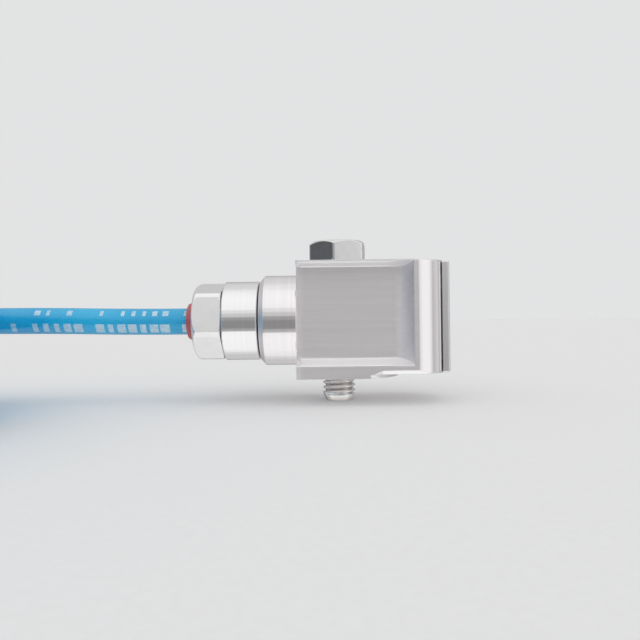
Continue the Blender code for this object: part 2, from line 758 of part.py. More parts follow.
def make_claw():
    """A slotted ring whose fingers close on the cable as the nut turns."""
    outer = SOCKET_RADIUS - GAP
    profile = [
        (CABLE_BORE_RADIUS, CLAW_START),
        (outer, CLAW_START),
        (outer, CLAW_START + CLAW_LENGTH),
        (CABLE_BORE_RADIUS, CLAW_START + CLAW_LENGTH),
    ]
    claw = along_cable(add_object("gland_claw", turn(profile), white_plastic()))
    slots = bmesh.new()
    past = 0.0005
    inner = CABLE_BORE_RADIUS - past
    reach = outer + past
    floor = CLAW_START + CLAW_LENGTH - CLAW_SLOT_DEPTH
    length = CLAW_SLOT_DEPTH + past
    for index in range(CLAW_SLOTS):
        spot = Matrix.Rotation(math.tau * (index + 0.5) / CLAW_SLOTS, 3, "Z")
        made = bmesh.ops.create_cube(slots, size=1.0)["verts"]
        bmesh.ops.scale(slots, verts=made, vec=(reach - inner, CLAW_SLOT_WIDTH, length))
        bmesh.ops.translate(slots, verts=made, vec=((reach + inner) / 2, 0, floor + length / 2))
        bmesh.ops.rotate(slots, verts=made, cent=(0, 0, 0), matrix=spot)
    return boolean(claw, as_cutter(along_cable(add_object("claw_slot_cutter", slots))))


def make_sealing_ring():
    """The ring in the boss's seat, squeezed by the sleeve's shoulder."""
    section_radius = RING_THICKNESS / 2
    centre_radius = GLAND_BORE_RADIUS + section_radius
    centre_place = SLEEVE_START - GAP - section_radius
    profile = []
    for step in range(RING_SECTION_STEPS):
        angle = math.tau * step / RING_SECTION_STEPS
        radius = centre_radius + section_radius * math.cos(angle)
        profile.append((radius, centre_place + section_radius * math.sin(angle)))
    return along_cable(add_object("sealing_ring", turn(profile, SMALL_SEGMENTS), black_rubber()))


def make_shield_ferrule():
    profile = [
        (CABLE_BORE_RADIUS, FERRULE_START),
        (FERRULE_RADIUS, FERRULE_START),
        (FERRULE_RADIUS, FERRULE_START + FERRULE_LENGTH),
        (CABLE_BORE_RADIUS, FERRULE_START + FERRULE_LENGTH),
    ]
    return along_cable(add_object("shield_ferrule", turn(profile), brass()))


# Cable end and electronics


def make_cable_stub():
    """The sheath's end inside the gland and the boss."""
    radius = CABLE_DIAMETER / 2
    end = FREE_CABLE_START - GAP
    profile = [(0.0, CABLE_STUB_START), (radius, CABLE_STUB_START), (radius, end), (0.0, end)]
    return along_cable(add_object("cable_stub", turn(profile, SMALL_SEGMENTS, closed=False), blue_sheath()))


def make_cores():
    """Four cores that pass the bolt's tube in pairs and end on the board's two sides."""
    start_offset = CORE_SPACING_IN_CABLE / 2
    end_offset = CORE_SPACING_AT_BOARD / 2
    end_x = BOARD_START + CORE_BOARD_OVERLAP
    board_face = BOARD_THICKNESS / 2 + GAP
    for index in range(4):
        side = -1 if index < 2 else 1
        level = -1 if index % 2 else 1
        points = [(-CABLE_STUB_START + GAP, side * start_offset, AXIS_HEIGHT + level * start_offset)]
        for number, degrees in enumerate(CORE_ANGLES):
            angle = math.radians(degrees)
            spread = min(1.0, (number + 1) / 4)
            height = AXIS_HEIGHT + level * (start_offset + (end_offset - start_offset) * spread)
            points.append((CORE_LANE_RADIUS * math.cos(angle), side * CORE_LANE_RADIUS * math.sin(angle), height))
        end_height = AXIS_HEIGHT + level * end_offset
        points.append((end_x, side * (board_face + CORE_DIAMETER), end_height))
        points.append((end_x, side * board_face, end_height))
        route = smooth_route(points, 2 * CORE_DIAMETER)[:-1] + [Vector(points[-1])]
        add_cord(f"core_{index + 1}", route, CORE_DIAMETER, core_insulation(index))


def make_board():
    centre = (BOARD_START + BOARD_LENGTH / 2, 0.0, CAVITY_BOTTOM + BOARD_EDGE_MARGIN + BOARD_HEIGHT / 2)
    return add_object("circuit_board", box(centre, (BOARD_LENGTH, BOARD_THICKNESS, BOARD_HEIGHT)), board_green())


def make_package(name, place, size, thickness, side, material):
    """A component's body on one side of the board. Its place and size are shares of the board's."""
    face = BOARD_THICKNESS / 2 + GAP
    draw = thickness * PACKAGE_DRAW
    x = BOARD_START + place[0] * BOARD_LENGTH
    z = CAVITY_BOTTOM + BOARD_EDGE_MARGIN + place[1] * BOARD_HEIGHT
    sections = []
    for depth, inset in ((0.0, draw), (thickness / 2, 0.0), (thickness, draw)):
        half_x = size[0] * BOARD_LENGTH / 2 - inset
        half_z = size[1] * BOARD_HEIGHT / 2 - inset
        y = side * (face + depth)
        corners = ((-half_x, -half_z), (half_x, -half_z), (half_x, half_z), (-half_x, half_z))
        sections.append([(x + dx, y, z + dz) for dx, dz in corners])
    return add_object(name, loft(sections), material)


def make_components():
    make_package("accelerometer", (0.62, 0.48), (0.385, 0.254), 0.0018, -1, chip_black())
    make_package("amplifier", (0.55, 0.78), (0.46, 0.203), 0.0015, -1, chip_black())
    make_package("regulator", (0.55, 0.78), (0.42, 0.178), 0.0016, 1, chip_black())
    make_package("capacitor_1", (0.43, 0.48), (0.262, 0.254), 0.0019, 1, capacitor_yellow())
    make_package("capacitor_2", (0.75, 0.48), (0.262, 0.254), 0.0019, 1, capacitor_yellow())


def make_potting():
    """Resin that fills the bottom of the cavity and holds the board's lower edge."""
    start = BOLT_TUBE_RADIUS + GAP
    end = SPIGOT_END - GAP
    half = CAVITY_HALF_WIDTH - GAP
    bottom = CAVITY_BOTTOM + GAP
    top = bottom + POTTING_HEIGHT
    corner = CAVITY_CORNER_RADIUS
    outline = [(half, top), (-half, top), (-half, bottom + corner), (-half + corner, bottom)]
    outline += [(half - corner, bottom), (half, bottom + corner)]
    body = loft([[(x, y, z) for y, z in outline] for x in (start, end)])
    potting = add_object("potting", body, potting_resin())
    slot_bottom = CAVITY_BOTTOM + BOARD_EDGE_MARGIN - GAP
    past = 0.001
    slot_centre = (BOARD_START + BOARD_LENGTH / 2, 0.0, (slot_bottom + top + past) / 2)
    slot_size = (BOARD_LENGTH + 2 * GAP, BOARD_THICKNESS + 2 * GAP, top + past - slot_bottom)
    return boolean(potting, as_cutter(add_object("potting_slot_cutter", box(slot_centre, slot_size))))


# Free cable, coil and its end


def make_free_cable():
    """The cable up to where it reaches the coil, rising a little on its way."""
    points = []
    for share, rise in ((0.0, 0.0), (0.2, 0.1), (0.4, 0.36), (0.6, 0.68), (0.8, 0.92), (1.0, 1.0)):
        x = -FREE_CABLE_START + (LEAD_END + FREE_CABLE_START) * share
        points.append((x, 0.0, AXIS_HEIGHT + CABLE_RISE * rise))
    route = smooth_route(points, 1.5 * CABLE_DIAMETER)
    return add_cord("cable_lead", route, CABLE_DIAMETER, blue_sheath(), 3)


def make_coil():
    """The outer shape of the wound cable, as a turned ring with rounded edges."""
    outline = rectangle(COIL_WIDTH / 2, COIL_BOTTOM, COIL_TOP, CABLE_DIAMETER / 2, 3)
    profile = [(COIL_TURN_DIAMETER / 2 + offset, height) for offset, height in outline]
    coil = add_object("cable_coil", turn(profile, COIL_SEGMENTS), blue_sheath())
    coil.location = (*COIL_CENTRE, 0)
    return coil


def make_ties():
    """Flat bands round the coil's section."""
    for index, angle in enumerate(TIE_ANGLES):
        inner = rectangle(COIL_WIDTH / 2 + GAP, COIL_BOTTOM - GAP, COIL_TOP + GAP, CABLE_DIAMETER / 2 + GAP)
        grow = GAP + TIE_THICKNESS
        outer = rectangle(COIL_WIDTH / 2 + grow, COIL_BOTTOM - grow, COIL_TOP + grow, CABLE_DIAMETER / 2 + grow)
        bm = bmesh.new()
        loops = []
        for outline, y in ((inner, -1), (outer, -1), (outer, 1), (inner, 1)):
            across = y * TIE_WIDTH / 2
            loops.append([bm.verts.new((COIL_TURN_DIAMETER / 2 + r, across, z)) for r, z in outline])
        for loop, following in zip(loops, loops[1:] + loops[:1]):
            for number in range(len(loop)):
                after = (number + 1) % len(loop)
                bm.faces.new((loop[number], loop[after], following[after], following[number]))
        tie = add_object(f"coil_tie_{index + 1}", bm, black_plastic())
        tie.location = (*COIL_CENTRE, 0)
        tie.rotation_euler = (0, 0, angle)


def on_coil(ahead, sideways, height):
    """A place on the end's line, counted from the sleeve's middle: straight in the sleeve, then round the coil."""
    outward = Vector((math.cos(END_ANGLE), math.sin(END_ANGLE)))
    forward = Vector((-outward.y, outward.x))
    middle = COIL_CENTRE + outward * (COIL_TURN_DIAMETER / 2 + END_OUTWARDS)
    straight = END_SLEEVE_LENGTH / 2
    if ahead <= straight:
        place = middle + forward * ahead + outward * sideways
        return Vector((*place, height))
    swing = (ahead - straight) / END_CORE_BEND
    aside = END_CORE_BEND * math.cos(swing) + sideways * math.cos(swing)
    along = END_CORE_BEND * math.sin(swing) + sideways * math.sin(swing)
    place = middle + forward * (straight + along) + outward * (aside - END_CORE_BEND)
    return Vector((*place, height))


def lay_along(made, start, beyond):
    """Lays a solid turned about Z from a start point towards a point beyond it, at one height."""
    made.location = start
    made.rotation_euler = (0, math.pi / 2, math.atan2(beyond.y - start.y, beyond.x - start.x))
    return made


def make_end_sleeve(height):
    radius = END_SLEEVE_DIAMETER / 2
    edge = END_SLEEVE_EDGE
    length = END_SLEEVE_LENGTH
    profile = [(0.0, 0.0), (radius - edge, 0.0), (radius, edge), (radius, length - edge), (radius - edge, length)]
    profile.append((0.0, length))
    sleeve = add_object("end_sleeve", turn(profile, SMALL_SEGMENTS, closed=False), black_rubber())
    return lay_along(sleeve, on_coil(-length / 2, 0.0, height), on_coil(length / 2, 0.0, height))


def make_crimp(index, ahead, sideways, height):
    collar = CRIMP_COLLAR_DIAMETER / 2
    tube = CRIMP_DIAMETER / 2
    tube_start = CRIMP_COLLAR_LENGTH + CRIMP_COLLAR_TAPER
    profile = [(0.0, 0.0), (collar, 0.0), (collar, CRIMP_COLLAR_LENGTH), (tube, tube_start)]
    profile += [(tube, CRIMP_LENGTH), (0.0, CRIMP_LENGTH)]
    crimp = add_object(f"end_crimp_{index + 1}", turn(profile, 12, closed=False), tinned_copper())
    return lay_along(crimp, on_coil(ahead, sideways, height), on_coil(ahead + 0.001, sideways, height))


def make_cable_end():
    """The stripped end on top of the coil: a shrunk sleeve, the cores and their crimps."""
    sleeve_height = COIL_TOP + GAP + END_SLEEVE_DIAMETER / 2
    low = COIL_TOP + GAP + CRIMP_COLLAR_DIAMETER / 2
    make_end_sleeve(sleeve_height)
    start = END_SLEEVE_LENGTH / 2 + GAP
    reach = END_CORE_LENGTH - 2 * GAP
    for index in range(END_CORE_COUNT):
        rank = index - (END_CORE_COUNT - 1) / 2
        near = rank * CORE_SPACING_IN_CABLE * 0.8
        wide = rank * END_CORE_SPREAD
        points = []
        for share in (0.0, 0.12, 0.25, 0.38, 0.5, 0.62, 0.75, 0.88, 1.0):
            fall = min(1.0, share / 0.75)
            settle = fall * fall * (3 - 2 * fall)
            sideways = near + (wide - near) * settle
            points.append(on_coil(start + reach * share, sideways, sleeve_height + (low - sleeve_height) * settle))
        route = smooth_route(points, 2.5 * CORE_DIAMETER)
        add_cord(f"end_core_{index + 1}", route, CORE_DIAMETER, core_insulation(index))
        make_crimp(index, start + reach + GAP, wide, low)


def main():
    clear_scene()
    make_housing()
    make_end_cover()
    make_bolt()
    make_sleeve()
    make_nut()
    make_washer()
    make_seal()
    make_claw()
    make_sealing_ring()
    make_shield_ferrule()
    make_cable_stub()
    make_cores()
    make_board()
    make_components()
    make_potting()
    make_free_cable()
    make_coil()
    make_ties()
    make_cable_end()


main()
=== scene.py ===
"""Vibration sensor: its looks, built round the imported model.

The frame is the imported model's: metres, +Z up along the mounting bolt, the cable towards -X, -Y the front.
"""

import math

import bmesh
import bpy
from mathutils import Euler, Matrix, Vector


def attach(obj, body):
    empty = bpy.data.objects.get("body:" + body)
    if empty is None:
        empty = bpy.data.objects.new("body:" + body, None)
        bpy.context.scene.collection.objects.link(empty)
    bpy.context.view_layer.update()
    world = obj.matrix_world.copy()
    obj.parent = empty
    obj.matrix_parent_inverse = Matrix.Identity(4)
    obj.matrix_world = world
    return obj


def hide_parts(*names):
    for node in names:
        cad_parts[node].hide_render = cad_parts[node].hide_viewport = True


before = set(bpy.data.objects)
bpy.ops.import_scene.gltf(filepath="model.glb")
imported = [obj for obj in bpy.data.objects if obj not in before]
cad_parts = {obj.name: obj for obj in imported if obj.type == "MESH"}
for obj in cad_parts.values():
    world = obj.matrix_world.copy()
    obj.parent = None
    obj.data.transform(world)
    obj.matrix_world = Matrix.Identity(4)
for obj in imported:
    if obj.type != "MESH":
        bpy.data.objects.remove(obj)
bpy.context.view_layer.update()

# Sizes and places repeated from the part's source
GAP = 0.0003
AXIS_HEIGHT = 0.01365
BLOCK_HEIGHT = 0.0273
BLOCK_TO_BOSS = 0.0101
SWEEP_START = 0.0124
NOSE_START = 0.0178
BOLT_DIAMETER = 0.008
BOLT_LENGTH = 0.0338
BOLT_HEAD_FLATS = 0.013
BOLT_HEAD_HEIGHT = 0.0053
BOLT_HEAD_TOP_DIAMETER = 0.0123
BOLT_HEAD_CORNER_DROP = 0.0009
BOLT_HEAD_ANGLE = math.radians(21)
BOLT_POINT_DIAMETER = 0.0063
BOLT_POINT_LENGTH = 0.0016
THREAD_PITCH = 0.00125
THREAD_DEPTH = 0.0007
THREAD_TOP = 0.012
THREAD_LEAD = 0.0013
NUT_START = 0.0282
NUT_END = 0.0353
NUT_FLATS = 0.017
NUT_FACE_RADIUS = 0.007
NUT_DOME_LENGTH = 0.0023
NUT_CORNER_FACET = 0.0012
NUT_ANGLE = math.radians(10.7)
NUT_MOUTH_RADIUS = 0.005
SEAL_RADIUS = 0.0047
SEAL_END = 0.0372
CABLE_DIAMETER = 0.0065
CABLE_EXIT = 0.0360
CABLE_RISE = 0.0007
CABLE_LEVEL_END = -0.088
CABLE_JOINS_COIL = -0.109
COIL_TURN_DIAMETER = 0.067
TURN_SPACING = 0.0066
COIL_CENTRE = Vector((-0.1143, -COIL_TURN_DIAMETER / 2 - TURN_SPACING))
COIL_BOTTOM = -0.0051
COIL_TOP = COIL_BOTTOM + CABLE_DIAMETER + 4 * TURN_SPACING
COIL_HALF_WIDTH = CABLE_DIAMETER / 2 + TURN_SPACING
FLOOR_HEIGHT = BLOCK_HEIGHT + GAP - BOLT_LENGTH
TIE_ANGLES = (math.radians(3), math.radians(152))
TIE_THICKNESS = 0.0008
TIE_WIDTH = 0.005
END_ANGLE = math.radians(290)
END_OUTWARDS = 0.002
END_SLEEVE_DIAMETER = 0.0078
END_SLEEVE_LENGTH = 0.014
END_HEIGHT = COIL_TOP + GAP + END_SLEEVE_DIAMETER / 2


# Camera: the photograph's viewpoint, level with the cable's axis

FOCAL_PIXELS = 584
IMAGE_PIXELS = 640
SENSOR_WIDTH = 36.0
CAMERA_PLACE = (-0.00459, -0.146, 0.0136)
CAMERA_ROLL = math.radians(-0.73)


def make_camera():
    """The camera, level and straight on but for the photograph's slight roll."""
    data = bpy.data.cameras.new("camera")
    data.sensor_width = SENSOR_WIDTH
    data.lens = SENSOR_WIDTH * FOCAL_PIXELS / IMAGE_PIXELS
    data.clip_start = 0.002
    data.clip_end = 50.0
    camera = bpy.data.objects.new("camera", data)
    level = Euler((math.pi / 2, 0.0, 0.0)).to_matrix().to_4x4()
    camera.matrix_world = Matrix.Translation(CAMERA_PLACE) @ level @ Matrix.Rotation(CAMERA_ROLL, 4, "Z")
    bpy.context.collection.objects.link(camera)
    bpy.context.scene.camera = camera


# Route of the cable

# Each entry: the angle in degrees where a turn starts to shift and where it ends, then its shift in turns
# outwards and upwards. The angle counts on from the point where the lead joins the coil, at 90 degrees, in
# the third layer from below.
COIL_SHIFTS = (
    (350, 450, 0, -1),
    (710, 810, 0, -1),
    (1030, 1150, -1, 0),
    (1390, 1510, -1, 0),
    (1730, 1830, 0, 1),
    (2050, 2170, 1, 0),
    (2390, 2490, 0, 1),
    (2710, 2830, -1, 0),
    (3050, 3150, 0, 1),
    (3410, 3510, 0, 1),
    (3730, 3850, 1, 0),
    (4070, 4170, 0, -1),
    (4390, 4510, 1, 0),
    (4730, 4830, 0, 1),
)
FIRST_LAYER = 2
LAST_LAYER = 4
LAST_TURN = 4680
LAST_CLIMB = (4843, 4903)


def ease(share):
    """From 0 to 1 on two parabolas."""
    share = min(1.0, max(0.0, share))
    if share < 0.5:
        return 2 * share**2
    return 1 - 2 * (1 - share) ** 2


def lead_height(x):
    """The cable's height on its way from the gland to the coil."""
    if x > CABLE_LEVEL_END:
        return AXIS_HEIGHT + CABLE_RISE * ease((x + CABLE_EXIT) / (CABLE_LEVEL_END + CABLE_EXIT))
    top = AXIS_HEIGHT + CABLE_RISE
    layer = COIL_BOTTOM + CABLE_DIAMETER / 2 + FIRST_LAYER * TURN_SPACING
    return top + (layer - top) * ease((CABLE_LEVEL_END - x) / (CABLE_LEVEL_END - CABLE_JOINS_COIL))


def coil_place(degrees):
    radius = COIL_TURN_DIAMETER / 2 + TURN_SPACING
    height = COIL_BOTTOM + CABLE_DIAMETER / 2 + FIRST_LAYER * TURN_SPACING
    for start, end, outwards, upwards in COIL_SHIFTS:
        share = ease((degrees - start) / (end - start))
        radius += outwards * share * TURN_SPACING
        height += upwards * share * TURN_SPACING
    angle = math.radians(degrees)
    place = COIL_CENTRE + Vector((math.cos(angle), math.sin(angle))) * radius
    return Vector((*place, last_climb(height, degrees)))


def last_climb(height, degrees):
    share = ease((degrees - LAST_CLIMB[0]) / (LAST_CLIMB[1] - LAST_CLIMB[0]))
    return height + (END_HEIGHT - height) * share


def end_axes():
    outward = Vector((math.cos(END_ANGLE), math.sin(END_ANGLE)))
    return outward, Vector((-outward.y, outward.x))


def cable_route():
    """The cable's centreline from the gland, round the coil, and into the end's sleeve."""
    points = []
    lead_steps = 28
    for step in range(lead_steps):
        x = -CABLE_EXIT + (COIL_CENTRE.x + CABLE_EXIT) * step / lead_steps
        points.append(Vector((x, 0.0, lead_height(x))))
    outer = COIL_TURN_DIAMETER / 2 + TURN_SPACING
    chord = COIL_TURN_DIAMETER / 2 + END_OUTWARDS
    half = END_SLEEVE_LENGTH / 2
    radius = (outer**2 - chord**2 - half**2) / (2 * (outer - chord))
    swing = math.atan2(half, chord - radius)
    swing_start = LAST_TURN + math.degrees(END_ANGLE - swing)
    degrees = 90
    while degrees < swing_start - 1:
        points.append(coil_place(degrees))
        degrees += 10
    outward, forward = end_axes()
    centre = COIL_CENTRE + outward * (chord - radius) - forward * half
    layer = COIL_BOTTOM + CABLE_DIAMETER / 2 + LAST_LAYER * TURN_SPACING
    swing_steps = 8
    for step in range(swing_steps + 1):
        angle = -swing + swing * step / swing_steps
        place = centre + (outward * math.cos(angle) + forward * math.sin(angle)) * radius
        here = LAST_TURN + math.degrees(math.atan2(place.y - COIL_CENTRE.y, place.x - COIL_CENTRE.x)) % 360
        points.append(Vector((*place, last_climb(layer, here))))
    inside = centre + outward * radius + forward * END_SLEEVE_LENGTH * 0.3
    points.append(Vector((*inside, END_HEIGHT)))
    return points


# Mesh helpers


def new_piece(name, bm, material, smooth_angle=math.radians(35)):
    """A mesh object in the frame, riding on the part."""
    bmesh.ops.recalc_face_normals(bm, faces=bm.faces)
    mesh = bpy.data.meshes.new(name)
    bm.to_mesh(mesh)
    bm.free()
    mesh.shade_smooth()
    mesh.set_sharp_from_angle(angle=smooth_angle)
    mesh.materials.append(material)
    piece = bpy.data.objects.new(name, mesh)
    bpy.context.collection.objects.link(piece)
    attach(piece, "root")
    return piece


def sweep_frames(points):
    """A sideways and an upward unit vector at each point of a route, without twist."""
    frames = []
    side = None
    for index, point in enumerate(points):
        before = points[max(0, index - 1)]
        after = points[min(len(points) - 1, index + 1)]
        along = (after - before).normalized()
        if side is None:
            side = Vector((0, -1, 0))
        side = (side - along * side.dot(along)).normalized()
        frames.append((side, along.cross(side).normalized()))
    return frames


def tube(points, radius, sides):
    """A closed tube along points, with texture coordinates in metres along it and in turns around it."""
    bm = bmesh.new()
    layer = bm.loops.layers.uv.new("along")
    rings = []
    for point, (side, up) in zip(points, sweep_frames(points)):
        ring = []
        for number in range(sides):
            angle = math.tau * number / sides
            ring.append(bm.verts.new(point + (side * math.cos(angle) + up * math.sin(angle)) * radius))
        rings.append(ring)
    travelled = 0.0
    for index, (ring, following) in enumerate(zip(rings, rings[1:])):
        length = (points[index + 1] - points[index]).length
        for number in range(sides):
            after = (number + 1) % sides
            face = bm.faces.new((ring[number], ring[after], following[after], following[number]))
            places = ((0, 0), (0, 1), (1, 1), (1, 0))
            for loop, (ahead, around) in zip(face.loops, places):
                loop[layer].uv = (travelled + length * ahead, (number + around) / sides)
        travelled += length
    bm.faces.new(rings[0])
    bm.faces.new(rings[-1])
    return bm


def skin(bm, rings):
    """Closes a row of equal rings into a solid with flat ends."""
    count = len(rings[0])
    for ring, following in zip(rings, rings[1:]):
        for number in range(count):
            after = (number + 1) % count
            bm.faces.new((ring[number], ring[after], following[after], following[number]))
    bm.faces.new(rings[0])
    bm.faces.new(rings[-1])


def close_round(bm, outlines):
    """Joins equal closed outlines that stand round an axis, the last one with the first."""
    count = len(outlines[0])
    for outline, following in zip(outlines, outlines[1:] + outlines[:1]):
        for index in range(count):
            after = (index + 1) % count
            bm.faces.new((outline[index], following[index], following[after], outline[after]))


def soft_block(bm, size, middle, rounding, steps):
    """Adds a block with rounded edges."""
    corners = bmesh.ops.create_cube(bm, size=1.0)["verts"]
    bmesh.ops.scale(bm, verts=corners, vec=size)
    bmesh.ops.translate(bm, verts=corners, vec=middle)
    edges = [edge for edge in bm.edges if edge.verts[0] in corners]
    bmesh.ops.bevel(bm, geom=edges, offset=rounding, segments=steps, affect="EDGES", profile=0.5)


def lathe(profile, segments=96):
    """A closed turned solid about Z from a closed profile of (radius, height) points."""
    bm = bmesh.new()
    rings = []
    for number in range(segments):
        angle = math.tau * number / segments
        across = (math.cos(angle), math.sin(angle))
        rings.append([bm.verts.new((r * across[0], r * across[1], z)) for r, z in profile])
    close_round(bm, rings)
    return bm


def along_cable(bm):
    """Lays a mesh made about Z along the cable's axis, its height counted towards the cable."""
    turned = Matrix.Rotation(-math.pi / 2, 4, "Y")
    bmesh.ops.transform(bm, matrix=Matrix.Translation((0, 0, AXIS_HEIGHT)) @ turned, verts=bm.verts)
    return bm


def arc(centre, radius, start, end, steps):
    """Points on an arc from a start to an end angle in degrees."""
    points = []
    for step in range(steps + 1):
        angle = math.radians(start + (end - start) * step / steps)
        points.append((centre[0] + radius * math.cos(angle), centre[1] + radius * math.sin(angle)))
    return points


# Node helpers


class Nodes:
    """Adds and links shader nodes of one material in short calls."""

    def __init__(self, name):
        self.material = bpy.data.materials.new(name)
        self.material.use_nodes = True
        self.tree = self.material.node_tree
        self.shader = self.tree.nodes["Principled BSDF"]

    def add(self, kind, **settings):
        node = self.tree.nodes.new(kind)
        for key, value in settings.items():
            setattr(node, key, value)
        return node

    def link(self, output, target):
        self.tree.links.new(output, target)

    def feed(self, target, value):
        """Links an output, or sets a plain value."""
        if isinstance(value, bpy.types.NodeSocket):
            self.link(value, target)
        else:
            target.default_value = value

    def math(self, operation, a, b=0.0):
        node = self.add("ShaderNodeMath", operation=operation)
        self.feed(node.inputs[0], a)
        self.feed(node.inputs[1], b)
        return node.outputs[0]

    def times(self, a, b):
        return self.math("MULTIPLY", a, b)

    def rest(self, share):
        """What a share leaves of 1."""
        return self.math("SUBTRACT", 1.0, share)

    def vector_math(self, operation, a, b=(0.0, 0.0, 0.0)):
        node = self.add("ShaderNodeVectorMath", operation=operation)
        self.feed(node.inputs[0], a)
        self.feed(node.inputs[1], b)
        return node.outputs["Value" if operation in ("LENGTH", "DOT_PRODUCT") else "Vector"]

    def position(self):
        return self.add("ShaderNodeTexCoord").outputs["Object"]

    def split(self, vector):
        node = self.add("ShaderNodeSeparateXYZ")
        self.link(vector, node.inputs[0])
        return node.outputs

    def scaled(self, vector, scale):
        node = self.add("ShaderNodeMapping")
        self.link(vector, node.inputs["Vector"])
        node.inputs["Scale"].default_value = scale
        return node.outputs[0]

    def noise(self, vector, scale=1.0, detail=2.0, roughness=0.5):
        node = self.add("ShaderNodeTexNoise")
        self.link(vector, node.inputs["Vector"])
        node.inputs["Scale"].default_value = scale
        node.inputs["Detail"].default_value = detail
        node.inputs["Roughness"].default_value = roughness
        return node.outputs[0]

    def range(self, value, low, high, to_low=0.0, to_high=1.0, smooth=False):
        node = self.add("ShaderNodeMapRange")
        if smooth:
            node.interpolation_type = "SMOOTHSTEP"
        self.feed(node.inputs["Value"], value)
        limits = {"From Min": low, "From Max": high, "To Min": to_low, "To Max": to_high}
        for name, number in limits.items():
            self.feed(node.inputs[name], number)
        return node.outputs["Result"]

    def spread(self, noise, low=0.0, high=1.0):
        """The middle of a noise's values, stretched from low to high."""
        return self.range(noise, 0.3, 0.7, low, high)

    def mix(self, share, a, b):
        """Mixes two colours or vectors."""
        node = self.add("ShaderNodeMix", data_type="RGBA")
        self.feed(node.inputs["Factor"], share)
        for socket, value in ((node.inputs["A"], a), (node.inputs["B"], b)):
            if isinstance(value, bpy.types.NodeSocket):
                self.link(value, socket)
            else:
                socket.default_value = (*value, 1.0)
        return node.outputs["Result"]

    def blend(self, share, a, b):
        """Mixes two numbers."""
        node = self.add("ShaderNodeMix", data_type="FLOAT")
        self.feed(node.inputs["Factor"], share)
        self.feed(node.inputs["A"], a)
        self.feed(node.inputs["B"], b)
        return node.outputs["Result"]

    def bump(self, height, distance, strength=1.0, normal=None):
        node = self.add("ShaderNodeBump")
        node.inputs["Strength"].default_value = strength
        node.inputs["Distance"].default_value = distance
        self.link(height, node.inputs["Height"])
        if normal is not None:
            self.link(normal, node.inputs["Normal"])
        return node.outputs["Normal"]

    def rounded_edges(self, radius, samples=6):
        node = self.add("ShaderNodeBevel", samples=samples)
        node.inputs["Radius"].default_value = radius
        return node.outputs["Normal"]

    def edge_share(self, bevel):
        """Near 1 where the rounded normal leaves the surface's own one, at an edge."""
        own = self.add("ShaderNodeNewGeometry").outputs["Normal"]
        same = self.vector_math("DOT_PRODUCT", bevel, own)
        return self.range(same, 0.995, 0.90)


def facing(n, axis, low, high):
    """From 0 to 1 as the surface's normal leans towards the cable (axis X), to the front or back (Y) or
    up or down (Z)."""
    part = n.split(n.add("ShaderNodeNewGeometry").outputs["Normal"])["XYZ".index(axis)]
    if axis == "X":
        return n.range(n.times(part, -1.0), low, high)
    return n.range(n.math("ABSOLUTE", part), low, high)


def round_cable_axis(n, y, z):
    """The direction round the cable's axis, for the grain that a lathe leaves."""
    node = n.add("ShaderNodeCombineXYZ")
    n.link(n.math("SUBTRACT", AXIS_HEIGHT, z), node.inputs[1])
    n.link(y, node.inputs[2])
    return n.vector_math("NORMALIZE", node.outputs[0])


def set_shader(nodes, metallic=0.0, roughness=None, anisotropic=0.0, ior=None, coat=0.0, specular=None):
    inputs = nodes.shader.inputs
    inputs["Metallic"].default_value = metallic
    if roughness is not None:
        inputs["Roughness"].default_value = roughness
    inputs["Anisotropic"].default_value = anisotropic
    inputs["Coat Weight"].default_value = coat
    if ior is not None:
        inputs["IOR"].default_value = ior
    if specular is not None:
        inputs["Specular IOR Level"].default_value = specular


# Materials of the steel pieces

# colour of polished edges, lightened as a painted highlight along them
POLISHED_EDGE_HIGHLIGHT = (0.97, 0.965, 0.96)
BOSS_BLEND = 0.00004
SWEEP_BLEND = 0.0002
NOSE_BLEND = 0.0006
FLANK_BLEND = 0.001


